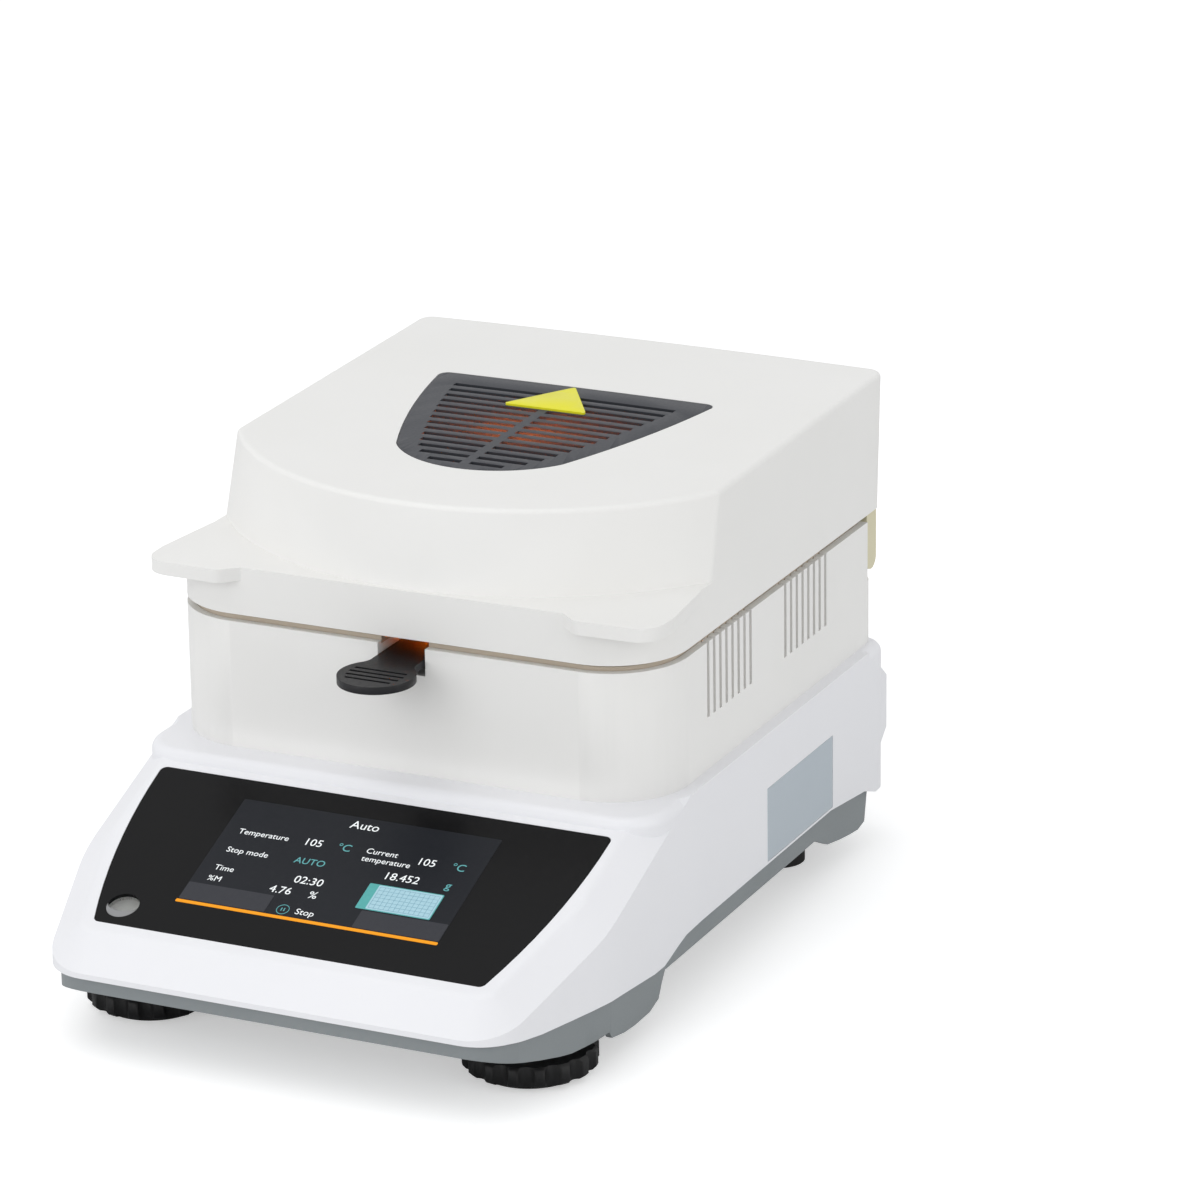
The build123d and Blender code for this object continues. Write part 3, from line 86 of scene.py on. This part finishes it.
rays = sky_nodes.new("ShaderNodeLightPath").outputs
mirrored = either(rays["Is Glossy Ray"], rays["Is Transmission Ray"])
choose = sky_nodes.new("ShaderNodeMixShader")
sky_out = sky_nodes.new("ShaderNodeOutputWorld")
sky_links.new(either(rays["Is Camera Ray"], mirrored), choose.inputs["Fac"])
sky_links.new(sky_tone(SKY_TINT, SKY_LIGHT), choose.inputs[1])
sky_links.new(sky_tone(WHITE, 1.0), choose.inputs[2])
sky_links.new(choose.outputs["Shader"], sky_out.inputs["Surface"])
bpy.context.scene.view_settings.view_transform = "Standard"
print("sky strength on the object:", SKY_LIGHT)

# %% [markdown]
# The table is one large pale sheet. A curved backdrop would hide the horizon too, but under a white
# sky a wide flat sheet is enough: to the camera it shines a little by itself, so it comes out nearly
# white, and it still catches the soft shadow of the feet.

# %% Table
TABLE_WIDTH = 12.0
TABLE_TINT = (0.82, 0.82, 0.82, 1.0)
TABLE_SHINE = 0.45

bpy.ops.mesh.primitive_plane_add(size=TABLE_WIDTH, location=(0, 0, 0))
table = bpy.context.object
table.name = "table"

paper = bpy.data.materials.new("white_paper")
paper.use_nodes = True
paper_nodes, paper_links = paper.node_tree.nodes, paper.node_tree.links
paper_nodes.clear()
matt = paper_nodes.new("ShaderNodeBsdfDiffuse")
matt.inputs["Color"].default_value = TABLE_TINT
own_light = paper_nodes.new("ShaderNodeEmission")
own_light.inputs["Color"].default_value = WHITE
table_rays = paper_nodes.new("ShaderNodeLightPath")
shine_level = paper_nodes.new("ShaderNodeMath")
shine_level.operation = "MULTIPLY"
shine_level.inputs[1].default_value = TABLE_SHINE
both = paper_nodes.new("ShaderNodeAddShader")
paper_out = paper_nodes.new("ShaderNodeOutputMaterial")
paper_links.new(table_rays.outputs["Is Camera Ray"], shine_level.inputs[0])
paper_links.new(shine_level.outputs["Value"], own_light.inputs["Strength"])
paper_links.new(matt.outputs["BSDF"], both.inputs[0])
paper_links.new(own_light.outputs["Emission"], both.inputs[1])
paper_links.new(both.outputs["Shader"], paper_out.inputs["Surface"])
table.data.materials.append(paper)
print("table:", TABLE_WIDTH, "m wide")

# %% [markdown]
# Three large soft lamps do the modelling. One hangs above and a little to the left, one stands in
# front and one on the right, so the top is the lightest face, the front comes next and the right
# side is a touch darker. Their size is what makes the shadows soft: a small lamp of the same power
# would draw hard edges.

# %% Soft lamps
LOOK_AT = Vector((0.0, 0.0, 0.09))
WARM_LIGHT = (1.0, 0.995, 0.985)
COOL_LIGHT = (0.99, 0.993, 1.0)


def add_to_scene(name, data):
    """A new object in the scene that shows the given mesh, curve, lamp or camera."""
    item = bpy.data.objects.new(name, data)
    bpy.context.collection.objects.link(item)
    return item


def soft_lamp(name, place, width, power, tint):
    """A square lamp turned to face the middle of the instrument."""
    lamp = bpy.data.lights.new(name, "AREA")
    lamp.shape = "SQUARE"
    lamp.size = width
    lamp.energy = power
    lamp.color = tint
    stand = add_to_scene(name, lamp)
    stand.location = place
    stand.rotation_euler = (LOOK_AT - stand.location).to_track_quat("-Z", "Y").to_euler()


lamps = [  # name, place, width, power, tint
    ("overhead_lamp", (-0.5, -0.3, 1.9), 1.8, 8.5, WARM_LIGHT),
    ("front_lamp", (-0.9, -2.1, 0.9), 1.6, 14.0, COOL_LIGHT),
    ("side_lamp", (2.2, -0.4, 0.9), 1.6, 10.0, WARM_LIGHT),
]
for lamp_row in lamps:
    soft_lamp(*lamp_row)
print("lamps:", [row[0] for row in lamps])

# %% [markdown]
# The camera stands two metres away, to the right of the front and a little above, behind a long lens
# that keeps the upright edges almost parallel. A short lens close by would show the same faces but
# make the near corner of the base loom. The angles were fitted to the photograph's edges.

# %% Camera
CAMERA_AZIMUTH = radians(25.46)
CAMERA_HEIGHT_ANGLE = radians(19.06)
CAMERA_ROLL = radians(-0.8304)
CAMERA_PLACE = Vector((0.9255, -1.8276, 0.8400))
CAMERA_REACH = 50.0
LENS_MM = 172.46
SENSOR_MM = 36.0

to_camera = Vector((sin(CAMERA_AZIMUTH) * cos(CAMERA_HEIGHT_ANGLE),
                    -cos(CAMERA_AZIMUTH) * cos(CAMERA_HEIGHT_ANGLE), sin(CAMERA_HEIGHT_ANGLE)))
level_right = Vector((cos(CAMERA_AZIMUTH), sin(CAMERA_AZIMUTH), 0.0))
level_up = to_camera.cross(level_right)
camera_right = level_right * cos(CAMERA_ROLL) + level_up * sin(CAMERA_ROLL)
camera_up = level_up * cos(CAMERA_ROLL) - level_right * sin(CAMERA_ROLL)

camera_data = bpy.data.cameras.new("photo_camera")
camera_data.lens = LENS_MM
camera_data.sensor_width = SENSOR_MM
camera_data.clip_end = CAMERA_REACH
camera = add_to_scene("photo_camera", camera_data)
turn = Matrix((camera_right, camera_up, to_camera)).transposed().to_4x4()
camera.matrix_world = Matrix.Translation(CAMERA_PLACE) @ turn
bpy.context.scene.camera = camera
print("camera looks along", tuple(round(-c, 3) for c in to_camera))

# %% [markdown]
# Moulded plastic is never one even colour. Up close it has a fine grain pressed in by the mould,
# and the grain breaks up the shine. A photograph of plastic could be wrapped round each piece, but
# a recipe of noise works at any size and on any shape. This recipe mixes two near tones, varies the
# roughness and adds a little relief, and each finish gets its own numbers.

# %% Recipe for a grained finish
CLOUD_DETAIL = 4.0
GRAIN_SCALE = 900.0
GRAIN_DETAIL = 2.0
GRAIN_DEPTH = MM / 4
MIX_SHARE, MIX_DEEP, MIX_PALE, MIX_RESULT = 0, 6, 7, 2


def rgb(code):
    """Blender's linear colour from the usual six-digit code."""
    tones = [int(code[i:i + 2], 16) / 255 for i in (0, 2, 4)]
    linear = [t / 12.92 if t <= 0.04045 else ((t + 0.055) / 1.055) ** 2.4 for t in tones]
    return (*linear, 1.0)


def new_finish(name):
    """A new material, with its nodes, its links and its main shader."""
    material = bpy.data.materials.new(name)
    material.use_nodes = True
    tree = material.node_tree
    return material, tree.nodes, tree.links, tree.nodes["Principled BSDF"]


def noise(nodes, scale, detail=2.0):
    """A cloudy pattern: a larger scale makes smaller clouds."""
    pattern = nodes.new("ShaderNodeTexNoise")
    pattern.inputs["Scale"].default_value = scale
    pattern.inputs["Detail"].default_value = detail
    return pattern


def mix_tones(nodes, links, pattern, pale, deep, shader):
    """Mixes two near tones by a pattern, as the shader's colour."""
    tone = nodes.new("ShaderNodeMix")
    tone.data_type = "RGBA"
    tone.inputs[MIX_DEEP].default_value = rgb(deep)
    tone.inputs[MIX_PALE].default_value = rgb(pale)
    links.new(pattern.outputs["Fac"], tone.inputs[MIX_SHARE])
    links.new(tone.outputs[MIX_RESULT], shader.inputs["Base Color"])


def grained(name, pale, deep, rough, relief=0.03, cloud=18.0, metal=0.0, shine=0.5):
    """A finish that mixes two near tones and varies its roughness with fine grain."""
    material, nodes, links, shader = new_finish(name)
    shader.inputs["Metallic"].default_value = metal
    shader.inputs["Specular IOR Level"].default_value = shine
    place = nodes.new("ShaderNodeTexCoord")
    wide = noise(nodes, cloud, CLOUD_DETAIL)
    fine = noise(nodes, GRAIN_SCALE, GRAIN_DETAIL)
    mix_tones(nodes, links, wide, pale, deep, shader)
    matt_level = nodes.new("ShaderNodeMapRange")
    matt_level.inputs["To Min"].default_value, matt_level.inputs["To Max"].default_value = rough
    bump = nodes.new("ShaderNodeBump")
    bump.inputs["Strength"].default_value = relief
    bump.inputs["Distance"].default_value = GRAIN_DEPTH
    links.new(place.outputs["Object"], wide.inputs["Vector"])
    links.new(place.outputs["Object"], fine.inputs["Vector"])
    links.new(fine.outputs["Fac"], matt_level.inputs["Value"])
    links.new(matt_level.outputs["Result"], shader.inputs["Roughness"])
    links.new(fine.outputs["Fac"], bump.inputs["Height"])
    links.new(bump.outputs["Normal"], shader.inputs["Normal"])
    return material


def dress(material, *pieces):
    """Gives CAD pieces a finish."""
    for piece in pieces:
        for holder in cad[piece].material_slots:
            holder.link = "OBJECT"
            holder.material = material
    print(material.name, "->", ", ".join(pieces))


# %% [markdown]
# The lid and the chamber are a warm white, the base below a cooler, brighter white: they come from
# different moulds, and the photograph shows it. The tray under them is a mid grey. One white for
# all would be quicker, but the two tones show where one cover ends and the next begins.

# %% White and grey covers
warm_white = grained("warm_white_plastic", "EEEDEB", "E9E8E5", rough=(0.42, 0.55), relief=0.05)
cool_white = grained("cool_white_plastic", "EDEDF0", "E9E9EC", rough=(0.35, 0.48), relief=0.04)
tray_grey = grained("tray_grey_plastic", "8B9092", "7E8486", rough=(0.45, 0.6), relief=0.08)
dress(warm_white, "lid_cover", "chamber_housing")
dress(cool_white, "top_cover")
dress(tray_grey, "base_tray", "rear_plate")

# %% [markdown]
# Behind the covers the parts near the heater are coated or moulded in heat-proof cream and beige.
# The covers' white would pass in the dark gap under the lid, but an open lid shows these parts in
# full light, so they get duller and rougher tones of their own.

# %% Cream and beige heat-proof parts
cream = grained("cream_frame_plastic", "DCD6BA", "D2CBAA", rough=(0.4, 0.55))
beige = grained("beige_heat_coat", "CBBEAD", "BFB19F", rough=(0.5, 0.65), relief=0.1)
dress(cream, "lid_frame")
dress(beige, "heat_plate", "vent_baffles")

# %% [markdown]
# The parts that a hand or the table touches are black. One black for all would look like paint, and
# it is the surface that tells them apart: a light grain on the lifter's grip, a stronger one on the
# foot wheels, dull rubber under them. The grille has a dark grey coat. The control window is the
# smoothest, with so little shine of its own that the display on it stays easy to read.

# %% Black and dark parts
black_grip = grained("black_grip_plastic", "1E1E21", "161618", rough=(0.35, 0.5), relief=0.08, shine=0.3)
black_foot = grained("black_foot_plastic", "161617", "0E0E0F", rough=(0.4, 0.6), relief=0.2, shine=0.3)
rubber = grained("foot_rubber", "1C1C1C", "131313", rough=(0.7, 0.85), relief=0.25)
grille_coat = grained("grille_dark_coat", "3C3E44", "34363B", rough=(0.45, 0.6), relief=0.1, shine=0.3)
panel_black = grained("panel_black_window", "171718", "141415", rough=(0.16, 0.22), relief=0.0, shine=0.08)
dress(black_grip, "pan_lifter", "inlet_housing", "fuse_holder", "rocker_frame", "power_rocker", "lid_switch")
dress(black_foot, "left_foot_wheel", "right_foot_wheel")
dress(rubber, "left_foot_pad", "right_foot_pad", "rear_feet")
dress(grille_coat, "lid_grille")
dress(panel_black, "panel_glass", "display_module")

# %% [markdown]
# Screws, pins and sockets are steel, the pan and the weighing cell aluminium, the threaded inserts
# brass. Metal has little colour of its own and shows what it mirrors. A grey plastic would look
# dusty there, so the same recipe is turned to metal, and its roughness tells polished from brushed.
# The reflector is tinted dark, so that it doesn't outshine the lamp in front of it.

# %% Metals
steel = grained("bright_steel", "C4C4C6", "B4B4B8", rough=(0.25, 0.4), metal=1.0, relief=0.02)
aluminium = grained("brushed_aluminium", "D0D0D2", "C0C0C4", rough=(0.3, 0.45), metal=1.0, relief=0.05)
mirror_metal = grained("polished_reflector", "5A5653", "4A4744", rough=(0.15, 0.25), metal=1.0, relief=0.01)
brass = grained("turned_brass", "D0A850", "BC9440", rough=(0.25, 0.4), metal=1.0)
dress(steel, "draft_shield", "inlet_pins", "serial_socket", "usb_socket", "lan_socket", "hinge_brackets",
      "hinge_pins", "glass_ring", "temperature_probe", "pan_support", "lid_magnet", "left_foot_stud",
      "right_foot_stud", "tray_screws", "chamber_screws", "lid_screws")
dress(aluminium, "chamber_floor", "load_cell", "load_cell_foot", "sample_pan", "heat_sink")
dress(mirror_metal, "lamp_reflector")
dress(brass, "standoffs", "foot_inserts")

# %% [markdown]
# The last pieces are small: a yellow triangle on the grille, a foil on the right side, circuit
# boards, a transformer, a ribbon cable and the lamp's ceramic holders. Most are hidden inside, and
# one grey would do for those until somebody takes a cover off. Each gets its real tone from the
# same recipe, with smaller clouds on the boards and the core.

# %% Small plates, boards and ceramics
yellow = grained("yellow_plate_coat", "EBE610", "E0DA06", rough=(0.35, 0.5))
label_foil = grained("pale_blue_foil", "B9C2C9", "AEB8C0", rough=(0.35, 0.5), relief=0.02)
board_green = grained("board_lacquer", "1E5A34", "174A2A", rough=(0.3, 0.45), cloud=160.0)
ceramic = grained("lamp_ceramic", "E6E2D8", "DAD5C9", rough=(0.7, 0.85))
core = grained("transformer_core", "5E5A55", "4A4743", rough=(0.5, 0.7), cloud=90.0)
film = grained("ribbon_film", "C9C6C0", "BDB9B2", rough=(0.3, 0.4))
cup_white = grained("level_cup_white", "F2F2F0", "E8E8E6", rough=(0.3, 0.4))
dress(yellow, "triangle_plate")
dress(label_foil, "rating_plate")
dress(board_green, "main_board", "power_board")
dress(ceramic, "lamp_holders")
dress(core, "transformer")
dress(film, "display_ribbon")
dress(cup_white, "level_body")

# %% [markdown]
# Glass carries light, so it can't share the plastic recipe. The level's vial is clear. The lamp tube
# glows amber through the glass under it, on to the pan and out of the front notch. Rays that bend
# through glass are slow to follow, so that flat glass lets light straight through instead, by being
# partly clear, which fills the chamber with clean warm light.

# %% Glass and glow
GLASS_ROUGH = 0.03
GLASS_BENDING = 1.45
GLASS_CLEARNESS = 0.92
GLASS_CLOUD = 60.0
AMBER = "FF7A10"


def glass(name, pale, deep, glow=0.0, body=1.0):
    """Clear, partly clear or glowing glass, with a slight unevenness in its tint."""
    material, nodes, links, shader = new_finish(name)
    solid = glow > 0.0 or body < 1.0
    shader.inputs["Roughness"].default_value = GLASS_ROUGH
    shader.inputs["Transmission Weight"].default_value = 0.0 if solid else GLASS_CLEARNESS
    shader.inputs["Alpha"].default_value = body
    shader.inputs["IOR"].default_value = GLASS_BENDING
    mix_tones(nodes, links, noise(nodes, GLASS_CLOUD), pale, deep, shader)
    if glow:
        shader.inputs["Emission Color"].default_value = rgb(AMBER)
        shader.inputs["Emission Strength"].default_value = glow
    return material


lit_glass = glass("lamp_lit_glass", "FFD8B0", "FFCCA0", body=0.25)
level_glass = glass("level_vial_glass", "F6F7F5", "ECEFEC")
lamp_glow = glass("lamp_amber_glow", "FFB060", "FF9A40", glow=60.0)
dress(lit_glass, "lamp_glass")
dress(level_glass, "level_vial")
dress(lamp_glow, "halogen_lamp")

# %% [markdown]
# The control window is a dark sheet on the sloping deck. What it shows is printed or lit just under
# its face, so we lay very thin plates and raised letters on it. A picture wrapped on the sheet would
# do for one view, but real pieces stay sharp up close. First we give the deck's slope and find its
# top edge from the CAD, so that every place can be given as millimetres across and down the deck.

# %% Find the deck
DECK_TILT = radians(20.97)
WINDOW_THICKNESS = 1.4 * MM
DECK_UP = Vector((0.0, cos(DECK_TILT), sin(DECK_TILT)))
DECK_OUT = Vector((0.0, -sin(DECK_TILT), cos(DECK_TILT)))

window_low, window_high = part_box("panel_glass")
deck_top = Vector((0.0, window_high[1] - WINDOW_THICKNESS * sin(DECK_TILT), window_high[2]))


def on_deck(across, down, out=0.0):
    """A place on the deck, from millimetres across, down the slope and out of it."""
    return deck_top + Vector((across * MM, 0.0, 0.0)) - DECK_UP * down * MM + DECK_OUT * out * MM


print("deck's top edge:", tuple(round(c, 4) for c in deck_top))

# %% [markdown]
# Lit display parts need to look lit in a bright room without glowing like lamps. A lamp behind a
# clear sheet would be truer but slow and uneven, so their finish adds a little of its own light to
# its colour instead.

# %% Finishes of the display
DISPLAY_CLOUD = 700.0


def lit(name, pale, deep, glow):
    """A display colour that shines a little by itself."""
    material = grained(name, pale, deep, rough=(0.3, 0.4), relief=0.0, cloud=DISPLAY_CLOUD, shine=0.1)
    shader = material.node_tree.nodes["Principled BSDF"]
    shader.inputs["Emission Color"].default_value = rgb(pale)
    shader.inputs["Emission Strength"].default_value = glow
    print("display finish:", name, "with a glow of", glow)
    return material


display_dark = lit("display_dark", "1F2126", "1B1D22", glow=0.1)
display_grey = lit("display_grey", "3A3B40", "35363B", glow=0.1)
display_white = lit("display_white", "E4E7E8", "DADEDF", glow=0.35)
display_teal = lit("display_teal", "62A6A8", "5A9A9D", glow=0.25)
graph_teal = lit("graph_teal", "5AA9A7", "509C9A", glow=0.15)
graph_pale = lit("graph_pale", "A9CBD6", "9CC1CE", glow=0.15)
graph_line = lit("graph_line", "7FA9B8", "76A0B0", glow=0.1)
line_orange = lit("line_orange", "EE9B22", "E6921A", glow=0.2)

# %% [markdown]
# Each coloured field of the display is a sheet a tenth of a millimetre thick. We list the corners of
# its outline, round them, and raise the outline off the deck. Scaling a ready-made box would be
# quicker, but a box can't have the small round corners that printed fields have. Where one field
# lies on another, it gets a higher layer.

# %% Sheets on the deck
SHEET_RISE = 0.06
SHEET_CORNER = 0.5
CORNER_STEPS = 5


def round_corners(left, right, top, foot, radius):
    """Points round a rectangle with rounded corners, as millimetres across and down."""
    points = []
    for across, down, start in ((right - radius, top + radius, -pi / 2),
                                (right - radius, foot - radius, 0.0),
                                (left + radius, foot - radius, pi / 2),
                                (left + radius, top + radius, pi)):
        for step in range(CORNER_STEPS + 1):
            angle = start + step * pi / 2 / CORNER_STEPS
            points.append((across + radius * cos(angle), down + radius * sin(angle)))
    return points


def raise_outlines(name, outlines, material, layer=1, foot=-SHEET_RISE):
    """One piece on the deck, raised from closed outlines given as millimetres across and down."""
    shape = bmesh.new()
    for outline in outlines:
        lower, upper = [[shape.verts.new(on_deck(across, down, out)) for across, down in outline]
                        for out in (foot, SHEET_RISE * layer)]
        shape.faces.new(lower)
        shape.faces.new(list(reversed(upper)))
        for i in range(len(outline)):
            j = (i + 1) % len(outline)
            shape.faces.new((lower[j], lower[i], upper[i], upper[j]))
    bmesh.ops.recalc_face_normals(shape, faces=shape.faces)
    mesh = bpy.data.meshes.new(name)
    shape.to_mesh(mesh)
    shape.free()
    mesh.materials.append(material)
    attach(add_to_scene(name, mesh), "base")


sheets = [  # name, left edge, right edge, top, foot, finish, layer
    ("display_face", -53.2, 53.4, 10.3, 66.6, display_dark, 1),
    ("display_key_left", -53.0, -17.8, 57.3, 66.5, display_grey, 2),
    ("display_key_right", 18.1, 53.2, 57.3, 66.5, display_grey, 2),
    ("display_rule", -53.6, 53.4, 66.9, 68.4, line_orange, 2),
    ("graph_field", 14.8, 45.0, 43.0, 56.6, graph_teal, 2),
    ("graph_area", 18.8, 44.6, 43.4, 56.2, graph_pale, 3),
]
for name, left, right, top, foot, finish, layer in sheets:
    raise_outlines(name, [round_corners(left, right, top, foot, SHEET_CORNER)], finish, layer)
print("display sheets:", len(sheets))

# %% [markdown]
# The graph has a fine grid. It could be drawn by a pattern in the finish, but drawn lines blur when
# they are this thin. Here they are strips a tenth of a millimetre wide, all raised together as one
# piece, which keeps the list of pieces short.

# %% Grid of the graph
GRID_LEFT, GRID_RIGHT, GRID_TOP, GRID_FOOT = 19.6, 43.8, 44.2, 55.4
GRID_COLUMNS, GRID_ROWS, GRID_LINE = 12, 6, 0.12


def strip(left, right, top, foot):
    """The corners of one straight strip."""
    return [(left, top), (right, top), (right, foot), (left, foot)]


strips = []
for i in range(GRID_COLUMNS + 1):
    x = GRID_LEFT + (GRID_RIGHT - GRID_LEFT) * i / GRID_COLUMNS
    strips.append(strip(x, x + GRID_LINE, GRID_TOP, GRID_FOOT))
for i in range(GRID_ROWS + 1):
    y = GRID_TOP + (GRID_FOOT - GRID_TOP) * i / GRID_ROWS
    strips.append(strip(GRID_LEFT, GRID_RIGHT, y, y + GRID_LINE))
raise_outlines("graph_grid", strips, graph_line, layer=4, foot=SHEET_RISE * 2)
print("grid lines:", len(strips))

# %% [markdown]
# The round level sits in the corner of the window. Looking into its cup from the front, the near
# wall lies in shade and shows as a grey crescent under the pale liquid. The vial's own shading is
# too weak at this size, so the crescent is painted shade: a thin grey sheet at the foot of the vial.

# %% Painted shade in the level
LEVEL_MIDDLE_DOWN = 75.0
LEVEL_RADIUS = 6.2
LEVEL_DEPTH = 1.3
CRESCENT_INNER_SHARE = 0.45
CRESCENT_STEPS = 20
level_low, level_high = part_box("level_vial")
level_across = (level_low[0] + level_high[0]) / 2 / MM


def shade_crescent_arc(depth, steps):
    """Points of the lower half of an oval as wide as the level, for the given steps round it."""
    angles = [step * pi / CRESCENT_STEPS for step in steps]
    return [(level_across + LEVEL_RADIUS * cos(angle), LEVEL_MIDDLE_DOWN + depth * sin(angle))
            for angle in angles]


# The outline of the painted shade: a crescent under the pale liquid.
shade_crescent = shade_crescent_arc(LEVEL_RADIUS, range(CRESCENT_STEPS + 1))
shade_crescent += shade_crescent_arc(LEVEL_RADIUS * CRESCENT_INNER_SHARE, range(CRESCENT_STEPS - 1, 0, -1))
# A grey that paints the shade of the cup's near wall, not a part's own colour.
painted_shade_grey = grained("level_painted_shade_grey", "8E8E90", "828284", rough=(0.3, 0.4))
raise_outlines("level_painted_shade", [shade_crescent], painted_shade_grey, foot=-LEVEL_DEPTH)
print("level window at", round(level_across, 1), "mm across")

# %% [markdown]
# The readings are plain figures with their units. Each letter could be drawn as an outline, as the
# sheets were, but text objects already keep their letters as curves, so a hair of thickness is
# enough to make each one a real raised piece.

# %% Readings
LETTER_SIZE_PER_CAP = 1.45
LETTER_CURVE_STEPS = 3
DEGREES = "\u00b0C"


def deck_text(name, words, across, down, cap, material, align="LEFT"):
    """Words laid on the deck, with their capitals' height given in millimetres."""
    curve = bpy.data.curves.new(name, "FONT")
    curve.body = words
    curve.size = cap * LETTER_SIZE_PER_CAP * MM
    curve.extrude = SHEET_RISE * MM / 2
    curve.align_x = align
    curve.align_y = "CENTER"
    curve.resolution_u = LETTER_CURVE_STEPS
    curve.materials.append(material)
    letters = add_to_scene(name, curve)
    letters.rotation_euler = (DECK_TILT, 0.0, 0.0)
    letters.location = on_deck(across, down, SHEET_RISE * 2)
    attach(letters, "base")


readings = [  # name, words, across, down, capitals' height, finish
    ("heading", "Auto", -0.6, 14.8, 4.0, display_white, "CENTER"),
    ("set_label", "Temperature", -47.2, 27.5, 2.7, display_white),
    ("set_value", "105", -20.0, 27.5, 3.6, display_white),
    ("set_unit", DEGREES, -6.2, 27.5, 3.6, display_teal),
    ("now_label", "Current", 5.6, 27.0, 2.7, display_white),
    ("now_label_more", "temperature", 5.6, 31.2, 2.7, display_white),
    ("now_value", "105", 26.9, 28.2, 3.6, display_white),
    ("now_unit", DEGREES, 40.9, 28.2, 3.6, display_teal),
    ("mode_label", "Stop mode", -47.2, 37.8, 2.7, display_white),
    ("mode_value", "AUTO", -19.0, 37.6, 3.1, display_teal),
    ("mass_value", "18.452", 17.9, 38.2, 3.7, display_white),
    ("mass_unit", "g", 43.1, 38.0, 3.7, display_teal),
    ("time_label", "Time", -47.2, 47.9, 2.7, display_white),
    ("time_value", "02:30", -14.4, 47.4, 3.7, display_white),
    ("loss_label", "%M", -47.2, 53.8, 2.7, display_white),
    ("loss_value", "4.76", -21.3, 54.1, 3.6, display_white),
    ("loss_unit", "%", -5.3, 54.1, 3.6, display_white),
    ("stop_word", "Stop", -6.2, 63.5, 2.9, display_white),
]
for reading in readings:
    deck_text(*reading)
print("readings:", len(readings))

# %% [markdown]
# The stop key is marked by a thin ring with two short bars in it. The ring could be cut as a flat
# washer, but a curve needs only its middle line and a thickness. The bars are raised outlines with
# rounded corners, like the sheets.

# %% Ring on the stop key
RING_ACROSS, RING_DOWN, RING_RADIUS, RING_LINE = -11.3, 63.5, 2.4, 0.14
RING_STEPS = 48
BAR_SET, BAR_HALF_WIDTH, BAR_CORNER = 0.55, 0.2, 0.1
BAR_TOP, BAR_FOOT = 62.7, 64.3

ring_curve = bpy.data.curves.new("stop_ring", "CURVE")
ring_curve.dimensions = "3D"
ring_curve.bevel_depth = RING_LINE * MM
ring_line = ring_curve.splines.new("POLY")
ring_line.points.add(RING_STEPS - 1)
for i, point in enumerate(ring_line.points):
    angle = 2 * pi * i / RING_STEPS
    across, down = RING_ACROSS + RING_RADIUS * cos(angle), RING_DOWN + RING_RADIUS * sin(angle)
    point.co = (*on_deck(across, down, SHEET_RISE), 1.0)
ring_line.use_cyclic_u = True
ring_curve.materials.append(display_teal)
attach(add_to_scene("stop_ring", ring_curve), "base")

bars = [round_corners(middle - BAR_HALF_WIDTH, middle + BAR_HALF_WIDTH, BAR_TOP, BAR_FOOT, BAR_CORNER)
        for middle in (RING_ACROSS - BAR_SET, RING_ACROSS + BAR_SET)]
raise_outlines("stop_bars", bars, display_teal, layer=2)
print("stop key: a ring of", RING_STEPS, "steps and", len(bars), "bars")

# %% [markdown]
# CAD edges are razor sharp where no fillet was drawn, and a razor edge catches no light. A narrow
# bevel gives each moulded edge a thin highlight. It is a modifier, so the CAD mesh under it stays
# as it was.

# %% Soften the moulded edges
WELD_REACH = MM / 1000
SHARP_FROM = radians(50)


def soften(width_mm, *pieces):
    """Welds a CAD piece's split corners and bevels its sharp edges."""
    for piece in pieces:
        weld = cad[piece].modifiers.new("weld", "WELD")
        weld.merge_threshold = WELD_REACH
        edge = cad[piece].modifiers.new("edge", "BEVEL")
        edge.width = width_mm * MM
        edge.segments = 2
        edge.limit_method = "ANGLE"
        edge.angle_limit = SHARP_FROM
        edge.harden_normals = True
    print("edges softened by", width_mm, "mm:", ", ".join(pieces))


soften(0.5, "chamber_housing", "lid_frame", "heat_plate")
soften(0.4, "base_tray", "pan_lifter", "lid_grille", "left_foot_wheel", "right_foot_wheel")
soften(0.25, "triangle_plate", "rating_plate")
